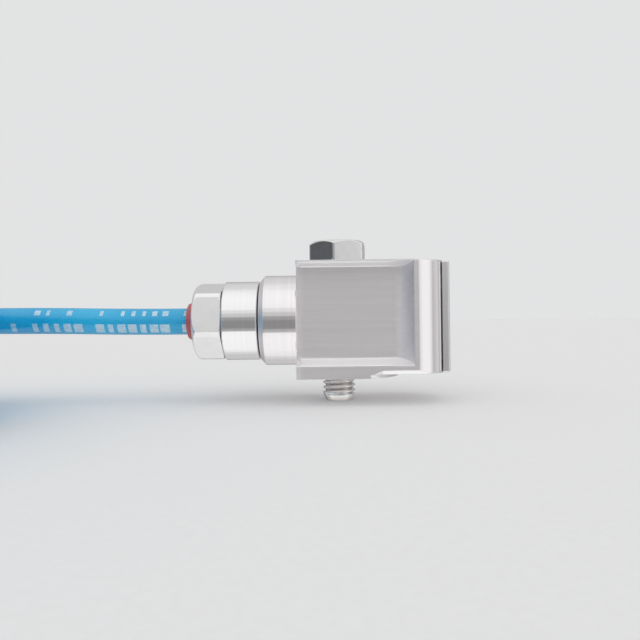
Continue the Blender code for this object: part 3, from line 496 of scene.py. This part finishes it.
def milled_steel():
    """Brushed block with a turned boss: grain along X, up and down on the nose, round the boss."""
    n = Nodes("brushed_block_steel")
    place = n.position()
    x, y, z = n.split(place)
    block_start = -BLOCK_TO_BOSS
    on_boss = n.range(x, block_start - BOSS_BLEND, block_start + BOSS_BLEND, 1.0, 0.0)
    on_block = n.rest(on_boss)
    on_sweep = n.range(x, SWEEP_START - SWEEP_BLEND, SWEEP_START + SWEEP_BLEND)
    on_nose = n.range(x, NOSE_START, NOSE_START + NOSE_BLEND, smooth=True)
    upright = n.rest(facing(n, "Z", 0.9, 0.98))
    leaning = facing(n, "Z", 0.15, 0.4)
    slope = n.times(leaning, upright)
    on_slope = n.times(slope, on_block)
    on_flank = n.times(n.times(facing(n, "Z", 0.88, 0.92), facing(n, "Y", 0.12, 0.18)), on_block)
    curved = n.times(n.math("MAXIMUM", on_boss, on_sweep), upright)
    curved = n.times(curved, n.rest(n.times(on_sweep, leaning)))

    brushed = n.noise(n.scaled(place, (90, 5200, 5200)), detail=4.0, roughness=0.65)
    ground = n.noise(n.scaled(place, (5200, 5200, 60)), detail=3.0, roughness=0.6)
    streaks = n.noise(n.scaled(place, (22, 1100, 1100)), detail=3.0, roughness=0.6)
    turned = n.noise(n.scaled(place, (9500, 30, 30)), detail=3.0, roughness=0.6)
    rings = n.noise(n.scaled(place, (1900, 20, 20)), detail=2.0)
    fine = n.blend(on_boss, n.blend(on_nose, brushed, ground), turned)
    coarse = n.blend(on_boss, n.blend(on_nose, streaks, 0.5), rings)

    # edges and the model's facets are rounded in the shading, more on curved parts and on the flanks
    bevel = n.mix(curved, n.rounded_edges(0.00022), n.rounded_edges(0.0005, 10))
    flank_end = n.range(x, SWEEP_START - FLANK_BLEND, SWEEP_START + FLANK_BLEND, 1.0, 0.0)
    bevel = n.mix(n.times(on_flank, flank_end), bevel, n.rounded_edges(0.0023, 12))
    edge = n.times(n.edge_share(bevel), n.rest(n.times(curved, 0.7)))
    raised = n.times(coarse, n.blend(on_boss, 1.0, 0.45))
    n.link(n.bump(fine, 0.000003, 1.0, n.bump(raised, 0.000003, 0.7, bevel)), n.shader.inputs["Normal"])

    tone = n.spread(n.blend(0.5, fine, coarse))
    base = n.mix(tone, (0.875, 0.845, 0.858), (0.965, 0.935, 0.945))
    # polished edges: lower roughness, plus a lighter colour that is a painted highlight along them
    base = n.mix(n.times(edge, 0.7), base, POLISHED_EDGE_HIGHLIGHT)
    # painted light: sloped faces and flanks, picked by how they lean, get a near-white colour that stands
    # for the light they catch
    base = n.mix(n.math("MAXIMUM", on_slope, on_flank), base, (0.985, 0.98, 0.98))
    n.link(base, n.shader.inputs["Base Color"])

    rough_block = n.math("ADD", n.spread(fine, 0.41, 0.51), n.times(facing(n, "X", 0.15, 0.45), 0.16))
    worn_end = n.range(x, block_start + 0.0007, block_start + 0.0013, 0.22, 0.0, smooth=True)
    rough_block = n.blend(slope, n.math("ADD", rough_block, worn_end), 0.17)
    rough_block = n.blend(on_flank, rough_block, 0.6)
    polished = n.spread(fine, 0.15, 0.20)
    rough_boss = n.math("ADD", polished, n.times(facing(n, "X", 0.2, 0.5), 0.28))
    rough = n.blend(on_boss, n.blend(on_nose, rough_block, polished), rough_boss)
    n.link(n.blend(n.times(edge, 0.6), rough, 0.16), n.shader.inputs["Roughness"])

    own = n.add("ShaderNodeNewGeometry").outputs["Normal"]
    across = n.vector_math("ADD", n.vector_math("CROSS_PRODUCT", own, (1.0, 0.0, 0.0)), (0.0, 0.0, 0.02))
    grain = n.mix(on_boss, n.vector_math("NORMALIZE", across), round_cable_axis(n, y, z))
    n.link(grain, n.shader.inputs["Tangent"])
    set_shader(n, metallic=1.0, anisotropic=0.45)
    return n.material


def cover_steel():
    """The end cover: lightly ground, with grain along Z."""
    n = Nodes("ground_cover_steel")
    place = n.position()
    grain = n.noise(n.scaled(place, (5200, 5200, 90)), detail=4.0, roughness=0.65)
    streaks = n.noise(n.scaled(place, (1100, 1100, 25)), detail=3.0)
    bevel = n.rounded_edges(0.0002)
    edge = n.edge_share(bevel)
    base = n.mix(n.spread(streaks), (0.88, 0.88, 0.885), (0.95, 0.945, 0.94))
    # edges lightened in colour: a painted highlight along them, beside their lower roughness
    base = n.mix(n.times(edge, 0.8), base, (0.97, 0.97, 0.96))
    n.link(base, n.shader.inputs["Base Color"])
    rough = n.spread(grain, 0.34, 0.44)
    n.link(n.blend(n.times(edge, 0.6), rough, 0.16), n.shader.inputs["Roughness"])
    n.link(n.bump(grain, 0.0000035, 1.0, bevel), n.shader.inputs["Normal"])
    set_shader(n, metallic=1.0, anisotropic=0.3)
    return n.material


def turned_steel():
    """Fine turned steel about the cable's axis."""
    n = Nodes("turned_sleeve_steel")
    place = n.position()
    x, y, z = n.split(place)
    fine = n.noise(n.scaled(place, (9500, 30, 30)), detail=3.0, roughness=0.6)
    rings = n.noise(n.scaled(place, (1700, 20, 20)), detail=2.0)
    bevel = n.rounded_edges(0.00045, 10)
    edge = n.times(n.edge_share(bevel), 0.5)
    base = n.mix(n.spread(rings), (0.90, 0.89, 0.89), (0.936, 0.9256, 0.9256))
    # polished edges, with a lighter colour as a painted highlight along them
    n.link(n.mix(n.times(edge, 0.7), base, POLISHED_EDGE_HIGHLIGHT), n.shader.inputs["Base Color"])
    rough = n.math("ADD", n.spread(fine, 0.12, 0.17), n.times(facing(n, "X", 0.2, 0.5), 0.28))
    n.link(rough, n.shader.inputs["Roughness"])
    n.link(n.bump(fine, 0.0000025, 1.0, n.bump(rings, 0.0000015, 0.6, bevel)), n.shader.inputs["Normal"])
    n.link(round_cable_axis(n, y, z), n.shader.inputs["Tangent"])
    set_shader(n, metallic=1.0, anisotropic=0.3)
    return n.material


def nut_steel():
    """The nut: bar stock drawn along its flats, with a turned dome."""
    n = Nodes("drawn_nut_steel")
    place = n.position()
    drawn = n.noise(n.scaled(place, (120, 4200, 4200)), detail=3.0, roughness=0.6)
    turned = n.noise(n.scaled(place, (8500, 30, 30)), detail=3.0)
    dome_start = NUT_DOME_LENGTH - NUT_END
    on_dome = n.range(n.split(place)[0], dome_start, dome_start - 0.0004)
    grain = n.blend(on_dome, drawn, turned)
    patches = n.noise(place, scale=260.0, detail=2.0)
    base = n.mix(n.spread(patches), (0.90, 0.89, 0.90), (0.95, 0.94, 0.94))
    n.link(base, n.shader.inputs["Base Color"])
    rough = n.math("ADD", n.spread(grain, 0.24, 0.30), n.times(facing(n, "X", 0.3, 0.7), 0.22))
    n.link(rough, n.shader.inputs["Roughness"])
    n.link(n.bump(grain, 0.0000008, 0.8, n.bump(patches, 0.000003, 0.2)), n.shader.inputs["Normal"])
    set_shader(n, metallic=1.0)
    return n.material


def bolt_steel():
    """The bolt: cold-formed steel with fine scratches, darker in the thread's grooves."""
    n = Nodes("formed_bolt_steel")
    place = n.position()
    x, y, z = n.split(place)
    scratches = n.noise(n.scaled(place, (1400, 1400, 5200)), detail=4.0, roughness=0.7)
    patches = n.noise(place, scale=420.0, detail=3.0)
    across = n.add("ShaderNodeCombineXYZ")
    n.link(x, across.inputs[0])
    n.link(y, across.inputs[1])
    radius = n.vector_math("LENGTH", across.outputs[0])
    below = n.range(z, THREAD_TOP, THREAD_TOP + 0.0001, 1.0, 0.0)
    root = BOLT_DIAMETER / 2 - THREAD_DEPTH
    groove = n.times(below, n.range(radius, root, root + THREAD_DEPTH * 0.7, 1.0, 0.0))
    base = n.mix(n.spread(patches), (0.76, 0.755, 0.76), (0.83, 0.825, 0.825))
    base = n.mix(n.times(groove, 0.65), base, (0.42, 0.36, 0.32))
    head_top = BLOCK_HEIGHT + GAP + BOLT_HEAD_HEIGHT
    tilted = n.times(facing(n, "Z", 0.3, 0.6), n.range(z, head_top - 0.0015, head_top - 0.0012))
    base = n.mix(tilted, base, (0.95, 0.945, 0.945))
    n.link(base, n.shader.inputs["Base Color"])
    n.link(n.range(scratches, 0.25, 0.75, 0.12, 0.18), n.shader.inputs["Roughness"])
    normal = n.bump(scratches, 0.0000025, 0.7, n.bump(patches, 0.000006, 0.3, n.rounded_edges(0.0001)))
    n.link(normal, n.shader.inputs["Normal"])
    set_shader(n, metallic=1.0)
    return n.material


# Materials of the other pieces


def cable_sheath():
    """Blue sheath with two rows of plain white printed dashes, rubbed here and there.

    Each row: its middle and half its height in turns, the pitch of its dashes in metres, the length of a
    dash as a share of that, the share of dashes left out, and a seed.
    """
    n = Nodes("printed_sheath")
    coordinates = n.add("ShaderNodeUVMap", uv_map="along").outputs[0]
    along, around, _ = n.split(coordinates)
    place = n.position()
    grain = n.noise(n.scaled(place, (900, 3000, 3000)), detail=3.0)
    clouds = n.noise(place, scale=90.0, detail=3.0)
    wear = n.noise(n.scaled(place, (700, 1500, 1500)), detail=4.0, roughness=0.7)
    base = n.mix(n.spread(clouds), (0.014, 0.45, 0.80), (0.030, 0.53, 0.88))
    ink = None
    rows = (
        (0.905, 0.062, 0.00265, 0.90, 0.12, 3.0),
        (0.108, 0.038, 0.00262, 0.62, 0.32, 11.0),
    )
    for middle, half, pitch, share, left_out, seed in rows:
        cell = n.math("DIVIDE", along, pitch)
        number = n.math("FLOOR", cell)
        within = n.math("FRACT", cell)
        draw = n.add("ShaderNodeTexWhiteNoise", noise_dimensions="1D")
        n.link(n.math("ADD", number, seed), draw.inputs["W"])
        chance = draw.outputs["Value"]
        another = n.math("FRACT", n.times(chance, 7.31))
        reach = n.times(n.range(another, 0.0, 1.0, 0.5, 1.0), share / 2)
        long = n.math("LESS_THAN", n.math("ABSOLUTE", n.math("SUBTRACT", within, 0.5)), reach)
        tall = n.math("LESS_THAN", n.math("ABSOLUTE", n.math("SUBTRACT", around, middle)), half)
        kept = n.math("GREATER_THAN", chance, left_out)
        mark = n.times(n.times(long, tall), kept)
        ink = mark if ink is None else n.math("MAXIMUM", ink, mark)
    ink = n.times(ink, n.range(wear, 0.30, 0.62, 0.45, 0.95))
    base = n.mix(ink, base, (0.72, 0.88, 0.95))
    n.link(base, n.shader.inputs["Base Color"])
    n.link(n.spread(grain, 0.22, 0.32), n.shader.inputs["Roughness"])
    n.link(n.bump(grain, 0.000004, 0.35, n.bump(clouds, 0.00006, 0.15)), n.shader.inputs["Normal"])
    set_shader(n, ior=1.62)
    return n.material


def plastic(
    name, colour, roughness=0.45, grain_scale=2500.0, grain_depth=0.000008, variation=0.12, coat=0.0
):
    """A moulded plastic or rubber with fine grain and slight colour variation."""
    n = Nodes(name)
    place = n.position()
    grain = n.noise(place, scale=grain_scale, detail=3.0)
    clouds = n.noise(place, scale=grain_scale / 12, detail=2.0)
    darker = tuple(value * (1 - variation) for value in colour)
    lighter = tuple(min(1.0, value * (1 + variation) + 0.004) for value in colour)
    n.link(n.mix(n.spread(clouds), darker, lighter), n.shader.inputs["Base Color"])
    n.link(n.spread(grain, roughness - 0.05, roughness + 0.07), n.shader.inputs["Roughness"])
    n.link(n.bump(grain, grain_depth, 0.5), n.shader.inputs["Normal"])
    set_shader(n, ior=1.5, coat=coat)
    return n.material


def soft_metal(name, colour, low=0.2, high=0.34, scale=(1500.0, 1500.0, 1500.0)):
    """A drawn or stamped metal with fine lines."""
    n = Nodes(name)
    place = n.position()
    lines = n.noise(n.scaled(place, scale), detail=3.0)
    clouds = n.noise(place, scale=400.0, detail=2.0)
    darker = tuple(value * 0.88 for value in colour)
    n.link(n.mix(n.spread(clouds), darker, colour), n.shader.inputs["Base Color"])
    n.link(n.spread(lines, low, high), n.shader.inputs["Roughness"])
    n.link(n.bump(lines, 0.000004, 0.8, n.rounded_edges(0.00008)), n.shader.inputs["Normal"])
    set_shader(n, metallic=1.0)
    return n.material


def board_material():
    """Green solder mask over copper tracks that show as lighter lines."""
    n = Nodes("solder_mask")
    place = n.position()
    cells = n.add("ShaderNodeTexVoronoi", feature="DISTANCE_TO_EDGE")
    n.link(n.scaled(place, (650, 650, 650)), cells.inputs["Vector"])
    track = n.range(cells.outputs["Distance"], 0.04, 0.07, 1.0, 0.0)
    grain = n.noise(place, scale=3000.0)
    n.link(n.mix(track, (0.015, 0.13, 0.055), (0.04, 0.24, 0.10)), n.shader.inputs["Base Color"])
    n.link(n.spread(grain, 0.28, 0.36), n.shader.inputs["Roughness"])
    n.link(n.bump(track, 0.00003, 0.7), n.shader.inputs["Normal"])
    set_shader(n, coat=0.2)
    return n.material


# Pieces


def make_cable(material):
    """The whole free cable as one tube, from the gland to the end's sleeve."""
    points = cable_route()
    body = tube(points, CABLE_DIAMETER / 2, 28)
    piece = new_piece("cable", body, material, math.radians(60))
    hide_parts("cable_lead", "cable_coil")
    return piece, points


def strap_section(grow):
    """Closed outline round the coil's section, as offsets from the middle of its turns and heights."""
    corner = CABLE_DIAMETER / 2 + grow
    low = COIL_BOTTOM - grow + corner
    high = COIL_TOP + grow - corner
    wide = COIL_HALF_WIDTH + grow - corner
    points = arc((wide, high), corner, 0, 90, 8) + arc((-wide, high), corner, 90, 180, 8)
    return points + arc((-wide, low), corner, 180, 270, 8) + arc((wide, low), corner, 270, 360, 8)


def make_tie(index, angle, material):
    """A strap with rounded sides round the coil, its tail and its locking head on top."""
    bm = bmesh.new()
    radius = COIL_TURN_DIAMETER / 2
    inner = strap_section(GAP)
    middle = strap_section(GAP + TIE_THICKNESS / 2)
    outer = strap_section(GAP + TIE_THICKNESS)
    edge = TIE_WIDTH / 2
    inset = 0.0003
    rows = (
        (inner, inset - edge),
        (middle, -edge),
        (outer, inset * 1.2 - edge),
        (outer, edge - inset * 1.2),
        (middle, edge),
        (inner, edge - inset),
    )
    loops = [[bm.verts.new((radius + r, offset, z)) for r, z in outline] for outline, offset in rows]
    for loop, following in zip(loops, loops[1:] + loops[:1]):
        for number in range(len(loop)):
            after = (number + 1) % len(loop)
            bm.faces.new((loop[number], loop[after], following[after], following[number]))
    top = COIL_TOP + GAP + TIE_THICKNESS
    head = (0.0052, TIE_WIDTH * 1.25, 0.0032)
    soft_block(bm, head, (radius - 0.002, 0, top + head[2] / 2 - 0.0003), 0.0006, 3)
    tail = (0.0052, TIE_WIDTH * 0.94, 0.0009)
    soft_block(bm, tail, (radius + 0.0030, 0, top + 0.0012), 0.0002, 2)
    turned = Matrix.Translation((*COIL_CENTRE, 0)) @ Matrix.Rotation(angle, 4, "Z")
    bmesh.ops.transform(bm, matrix=turned, verts=bm.verts)
    piece = new_piece(f"tie_{index + 1}", bm, material)
    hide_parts(f"coil_tie_{index + 1}")
    return piece


def make_end_sleeve(material):
    """A shrunk sleeve that steps down from the cable to the cores."""
    full = END_SLEEVE_DIAMETER / 2
    snug = full - 0.0003
    slim = full - 0.0011
    length = END_SLEEVE_LENGTH
    side = [(full - 0.0005, 0.0), (full - 0.0001, 0.0002), (full, 0.0007), (snug, 0.0016)]
    side += [(snug, length * 0.5), (snug - 0.0001, length * 0.58), (slim + 0.0001, length * 0.72)]
    side += [(slim, length * 0.8), (slim - 0.0001, length - 0.0004), (slim - 0.0006, length)]
    bm = bmesh.new()
    segments = 48
    rings = []
    for radius, height in side:
        ring = []
        for number in range(segments):
            angle = math.tau * number / segments
            pinched = radius * (1 - 0.05 * max(0.0, height / length - 0.5) * math.cos(4 * angle))
            ring.append(bm.verts.new((pinched * math.cos(angle), pinched * math.sin(angle), height)))
        rings.append(ring)
    skin(bm, rings)
    outward, forward = end_axes()
    middle = COIL_CENTRE + outward * (COIL_TURN_DIAMETER / 2 + END_OUTWARDS)
    start = middle - forward * length / 2
    turned = Euler((0, math.pi / 2, math.atan2(forward.y, forward.x))).to_matrix().to_4x4()
    bmesh.ops.transform(bm, matrix=Matrix.Translation((*start, END_HEIGHT)) @ turned, verts=bm.verts)
    piece = new_piece("shrunk_sleeve", bm, material, math.radians(50))
    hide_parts("end_sleeve")
    return piece


def hexagon_radius(angle, flats, facet):
    """Distance from the axis to a hexagon's side, its corners cut by narrow facets of the given width."""
    from_corner = abs((angle + math.pi / 6) % (math.pi / 3) - math.pi / 6)
    flat = flats / 2 / math.cos(math.pi / 6 - from_corner)
    cut = flats / math.sqrt(3) - facet / 2 / math.tan(math.pi / 3)
    return min(flat, cut / math.cos(from_corner))


def hexagon_angles(first_corner, flats, facet, facet_steps, flat_steps):
    """Angles round a hexagon that fall on the ends of its facets."""
    cut = flats / math.sqrt(3) - facet / 2 / math.tan(math.pi / 3)
    half = math.atan2(facet / 2, cut)
    angles = []
    for number in range(6):
        corner = first_corner + number * math.pi / 3
        angles += [corner - half + 2 * half * step / facet_steps for step in range(facet_steps)]
        flat = math.pi / 3 - 2 * half
        angles += [corner + half + flat * step / flat_steps for step in range(flat_steps)]
    return angles


def nut_profile():
    """The turned outline of the nut's outside, from its joint to its mouth: (radius, place)."""
    corner = NUT_FLATS / math.sqrt(3) + 0.0001
    chamfer = 0.0002
    points = [(corner - 0.0006, NUT_START), (corner, NUT_START + chamfer)]
    steps = 10
    body_end = NUT_END - NUT_DOME_LENGTH
    for step in range(1, steps + 1):
        points.append((corner, NUT_START + chamfer + (body_end - NUT_START - chamfer) * step / steps))
    fall = 40
    for step in range(1, fall + 1):
        angle = math.pi / 2 * step / fall
        radius = NUT_FACE_RADIUS + (corner - NUT_FACE_RADIUS) * math.cos(angle)
        points.append((radius, body_end + NUT_DOME_LENGTH * math.sin(angle)))
    points.append((NUT_FACE_RADIUS - 0.0006, NUT_END))
    return points


def make_nut(material):
    """The gland nut: hexagon bar with soft corners, met by the turned dome."""
    mouth = NUT_MOUTH_RADIUS
    profile = nut_profile()
    bore = 0.0073
    lip = NUT_END - 0.0016
    inner = [(mouth + 0.0003, NUT_END), (mouth, NUT_END - 0.0003), (mouth, lip)]
    inner += [(bore, lip), (bore, NUT_START)]
    bm = bmesh.new()
    rings = []
    for angle in hexagon_angles(NUT_ANGLE, NUT_FLATS, NUT_CORNER_FACET, 4, 40):
        across = (math.cos(angle), math.sin(angle))
        hexagon = hexagon_radius(angle - NUT_ANGLE, NUT_FLATS, NUT_CORNER_FACET)
        ring = []
        for radius, place in profile:
            limit = soft_min(radius, hexagon, 0.00025)
            ring.append(bm.verts.new((limit * across[0], limit * across[1], place)))
        for radius, place in inner:
            ring.append(bm.verts.new((radius * across[0], radius * across[1], place)))
        rings.append(ring)
    close_round(bm, rings)
    piece = new_piece("dome_nut", along_cable(bm), material, math.radians(25))
    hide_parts("gland_nut")
    return piece


def soft_min(a, b, reach):
    """The smaller of two numbers, rounded off where they are closer than reach."""
    apart = abs(a - b)
    if apart >= reach:
        return min(a, b)
    return min(a, b) - (reach - apart) ** 2 / (4 * reach)


def make_seal(material):
    """The seal's neck and its rounded lip round the cable, and its flange inside the gland."""
    bore = CABLE_DIAMETER / 2 + 0.00012
    neck = SEAL_RADIUS
    lip = neck - 0.0002
    corner = 0.0005
    flange = 0.0054
    washer = 0.0325
    start = 0.0295
    profile = [(bore, start), (flange, start), (flange, washer), (neck, washer), (neck, NUT_END + 0.0004)]
    profile += [(neck - 0.00012, NUT_END + 0.0007), (neck - 0.0001, SEAL_END - corner - 0.0002)]
    profile += arc((lip - corner, SEAL_END - corner), corner, 0, 90, 6)
    profile += arc((bore + 0.0003, SEAL_END - 0.0003), 0.0003, 90, 180, 4)
    piece = new_piece("cable_seal", along_cable(lathe(profile, 96)), material)
    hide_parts("gland_seal")
    return piece


def thread_radius(angle, height):
    """The bolt's radius on its thread: a right-hand sixty-degree profile with a flat crest."""
    turns = (height / THREAD_PITCH - angle / math.tau) % 1.0
    from_root = abs(turns - 0.5) * 2
    rise = min(1.0, max(0.0, (from_root - 0.10) / 0.74))
    return BOLT_DIAMETER / 2 - THREAD_DEPTH * (1 - rise)


def shank_rings(bm, seat):
    """The bolt's shank from its point up to its head: a real thread, then a plain part."""
    point = seat - BOLT_LENGTH
    start = point + 0.0001
    steps = 260
    heights = [point] + [start + (THREAD_TOP - start) * step / steps for step in range(steps + 1)]
    heights += [THREAD_TOP + 0.0006, seat - 0.001, seat - 0.0001]
    segments = 96
    rings = []
    for height in heights:
        ring = []
        for number in range(segments):
            angle = math.tau * number / segments
            radius = BOLT_DIAMETER / 2
            if height <= THREAD_TOP:
                cut = min(1.0, (THREAD_TOP - height) / 0.0012)
                cut = min(cut, max(0.0, (height - point - THREAD_LEAD) / 0.0006))
                radius -= (BOLT_DIAMETER / 2 - thread_radius(angle, height)) * cut
            widening = (BOLT_DIAMETER - BOLT_POINT_DIAMETER) / 2 / BOLT_POINT_LENGTH
            taper = BOLT_POINT_DIAMETER / 2 + (height - point) * widening
            if height == point:
                taper -= 0.0001
            radius = soft_min(radius, taper, 0.00012)
            ring.append(bm.verts.new((radius * math.cos(angle), radius * math.sin(angle), height)))
        rings.append(ring)
    return rings


def head_rings(bm, seat):
    """The bolt's hexagon head with its turned chamfer."""
    top = seat + BOLT_HEAD_HEIGHT
    facet = 0.00015
    wide = BOLT_HEAD_FLATS / math.sqrt(3) + 0.0001
    drop = BOLT_HEAD_CORNER_DROP
    face = BOLT_HEAD_TOP_DIAMETER / 2
    foot = seat + 0.00025
    side_steps = 8
    chamfer_steps = 10
    profile = [(0.0042, seat), (wide - 0.0004, seat), (wide, foot)]
    for step in range(1, side_steps + 1):
        profile.append((wide, foot + (BOLT_HEAD_HEIGHT - drop - 0.0004) * step / side_steps))
    for step in range(chamfer_steps + 1):
        share = step / chamfer_steps
        profile.append((wide - 0.0001 - (wide - 0.0001 - face) * share, top - drop * (1 - share)))
    profile += [(face - 0.00015, top), (face * 0.6, top), (0.0006, top)]
    first = math.pi + BOLT_HEAD_ANGLE
    angles = hexagon_angles(first, BOLT_HEAD_FLATS, facet, 2, 30)
    rings = []
    for radius, height in profile:
        ring = []
        for angle in angles:
            limit = soft_min(radius, hexagon_radius(angle - first, BOLT_HEAD_FLATS, facet), 0.00006)
            ring.append(bm.verts.new((limit * math.cos(angle), limit * math.sin(angle), height)))
        rings.append(ring)
    return rings


def make_bolt(material):
    """The hexagon bolt: chamfered head, plain shank and a real thread with a turned point."""
    bm = bmesh.new()
    seat = BLOCK_HEIGHT + GAP
    skin(bm, shank_rings(bm, seat))
    skin(bm, head_rings(bm, seat))
    piece = new_piece("hexagon_bolt", bm, material, math.radians(30))
    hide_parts("mounting_bolt")
    return piece


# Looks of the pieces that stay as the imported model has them


def dress(node, material):
    """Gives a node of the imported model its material."""
    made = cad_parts[node]
    if not made.material_slots:
        made.data.materials.append(material)
    for slot in made.material_slots:
        slot.material = material


def dress_inside():
    dress("gland_washer", soft_metal("stamped_brass", (0.80, 0.60, 0.30)))
    dress("shield_ferrule", soft_metal("drawn_brass", (0.78, 0.58, 0.30), scale=(200.0, 2500.0, 2500.0)))
    dress("gland_claw", plastic("natural_polyamide", (0.72, 0.70, 0.64), 0.42))
    dress("sealing_ring", plastic("ring_rubber", (0.025, 0.025, 0.026), 0.42))
    dress("cable_stub", plastic("stub_sheath", (0.015, 0.36, 0.63), 0.42))
    dress("circuit_board", board_material())
    package = plastic("package_epoxy", (0.018, 0.018, 0.019), 0.38)
    for node in ("accelerometer", "amplifier", "regulator"):
        dress(node, package)
    tantalum = plastic("capacitor_epoxy", (0.55, 0.34, 0.06), 0.4)
    for node in ("capacitor_1", "capacitor_2"):
        dress(node, tantalum)
    dress("potting", plastic("cast_resin", (0.05, 0.045, 0.042), 0.25, 400.0, 0.00002, 0.2, 0.3))
    colours = ((0.16, 0.065, 0.022), (0.74, 0.74, 0.71), (0.02, 0.09, 0.42), (0.016, 0.016, 0.017))
    crimp = soft_metal("tinned_crimp", (0.74, 0.73, 0.70), 0.2, 0.32, (700.0, 700.0, 2600.0))
    for index, colour in enumerate(colours):
        material = plastic(f"core_insulation_{index + 1}", colour, 0.4)
        dress(f"core_{index + 1}", material)
        dress(f"end_core_{index + 1}", material)
        dress(f"end_crimp_{index + 1}", crimp)


# Stage and light

BACKGROUND = (0.765, 0.768, 0.775)
FLOOR_CLEARANCE = 0.00005


def make_floor():
    """A plain pale floor, just under the coil's ties and the bolt's end."""
    bm = bmesh.new()
    bmesh.ops.create_grid(bm, x_segments=1, y_segments=1, size=6.0)
    mesh = bpy.data.meshes.new("floor")
    bm.to_mesh(mesh)
    bm.free()
    n = Nodes("pale_floor")
    place = n.position()
    grain = n.noise(place, scale=900.0, detail=3.0)
    base = n.mix(n.spread(grain), (0.93, 0.93, 0.93), (0.95, 0.95, 0.95))
    n.link(base, n.shader.inputs["Base Color"])
    set_shader(n, roughness=0.9, specular=0.0)
    mesh.materials.append(n.material)
    floor = bpy.data.objects.new("floor", mesh)
    floor.location = (0.0, 0.0, FLOOR_HEIGHT - FLOOR_CLEARANCE)
    floor.visible_glossy = False
    bpy.context.collection.objects.link(floor)


def ramp(n, value, stops):
    """A smooth brightness over a number from 0 to 1."""
    node = n.add("ShaderNodeValToRGB")
    node.color_ramp.interpolation = "EASE"
    elements = node.color_ramp.elements
    while len(elements) < len(stops):
        elements.new(0.5)
    for element, (place, level) in zip(elements, stops):
        element.position = place
    for element, (place, level) in zip(elements, stops):
        element.color = (level, level, level, 1.0)
    n.link(value, node.inputs["Fac"])
    return node.outputs["Color"]


class WorldNodes(Nodes):
    """The same short calls for the nodes of a world."""

    def __init__(self, name):
        self.world = bpy.data.worlds.new(name)
        self.world.use_nodes = True
        self.tree = self.world.node_tree
        self.shader = self.tree.nodes["Background"]


def make_light():
    """A white tent: bright above and below, a dark gap at eye level towards the viewer and the left, a
    dark board higher up on the left, and a tall white panel at the right front. The bearing runs from 0 to
    1 round the object, with the viewer at 0.5, and the height from 0 below to 1 above."""
    n = WorldNodes("studio")
    direction = n.add("ShaderNodeTexCoord").outputs["Generated"]
    x, y, z = n.split(direction)
    rise = n.math("ARCSINE", n.math("MAXIMUM", n.math("MINIMUM", z, 1.0), -1.0))
    height = n.math("ADD", n.math("DIVIDE", rise, math.pi), 0.5)
    bearing = n.math("DIVIDE", n.math("ARCTAN2", x, n.times(y, -1.0)), math.tau)
    bearing = n.math("ADD", bearing, 0.5)
    round_about = ramp(
        n,
        bearing,
        (
            (0.0, 0.40),
            (0.075, 0.14),
            (0.17, 0.60),
            (0.25, 0.50),
            (0.32, 0.36),
            (0.40, 0.25),
            (0.50, 0.225),
            (0.57, 0.27),
            (0.62, 0.66),
            (0.66, 0.97),
            (0.705, 0.97),
            (0.735, 0.44),
            (0.768, 0.68),
            (0.80, 0.36),
            (0.87, 0.45),
            (1.0, 0.40),
        ),
    )
    tall = ramp(
        n,
        height,
        (
            (0.0, 0.88),
            (0.02, 0.84),
            (0.032, 0.99),
            (0.335, 1.02),
            (0.50, 0.95),
            (0.70, 0.98),
            (0.88, 1.0),
            (0.955, 0.96),
            (0.985, 0.80),
            (1.0, 0.76),
        ),
    )
    behind = ramp(
        n,
        height,
        (
            (0.0, 0.88),
            (0.20, 0.58),
            (0.40, 0.60),
            (0.50, 0.55),
            (0.62, 0.50),
            (0.80, 0.68),
            (1.0, 0.76),
        ),
    )
    gap = ramp(n, height, ((0.325, 0.0), (0.36, 1.0), (0.505, 1.0), (0.60, 0.45), (0.70, 0.0)))
    back_share = n.range(y, -0.05, 0.35, smooth=True)
    around = n.mix(back_share, tall, behind)
    level = n.mix(gap, around, round_about)
    # the dark board, which the bolt's head mirrors
    board_width = n.times(n.range(bearing, 0.235, 0.262), n.range(bearing, 0.335, 0.305))
    board_height = n.times(n.range(height, 0.495, 0.52), n.range(height, 0.63, 0.59))
    board = n.times(board_width, board_height)
    level = n.mix(board, level, (0.045, 0.047, 0.053))
    tinted = n.mix(0.06, level, (0.98, 0.99, 1.02))
    path = n.add("ShaderNodeLightPath")
    n.link(n.mix(path.outputs["Is Camera Ray"], tinted, BACKGROUND), n.shader.inputs["Color"])
    n.shader.inputs["Strength"].default_value = 1.0
    bpy.context.scene.world = n.world


def make_scene():
    make_camera()
    sheath = cable_sheath()
    cable, points = make_cable(sheath)
    black = plastic("tie_polyamide", (0.022, 0.022, 0.023), 0.34)
    ties = [make_tie(index, angle, black) for index, angle in enumerate(TIE_ANGLES)]
    sleeve = make_end_sleeve(plastic("shrink_tube", (0.02, 0.02, 0.021), 0.38, 1800.0))
    loose_ends = [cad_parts[f"end_core_{index + 1}"] for index in range(4)]
    loose_ends += [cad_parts[f"end_crimp_{index + 1}"] for index in range(4)]
    dress("housing", milled_steel())
    dress("end_cover", cover_steel())
    dress("gland_sleeve", turned_steel())
    make_nut(nut_steel())
    make_seal(plastic("seal_rubber", (0.60, 0.135, 0.145), 0.36, 2200.0, 0.00001, 0.10))
    make_bolt(bolt_steel())
    dress_inside()
    make_floor()
    make_light()
    bpy.context.scene.view_settings.view_transform = "Standard"


make_scene()
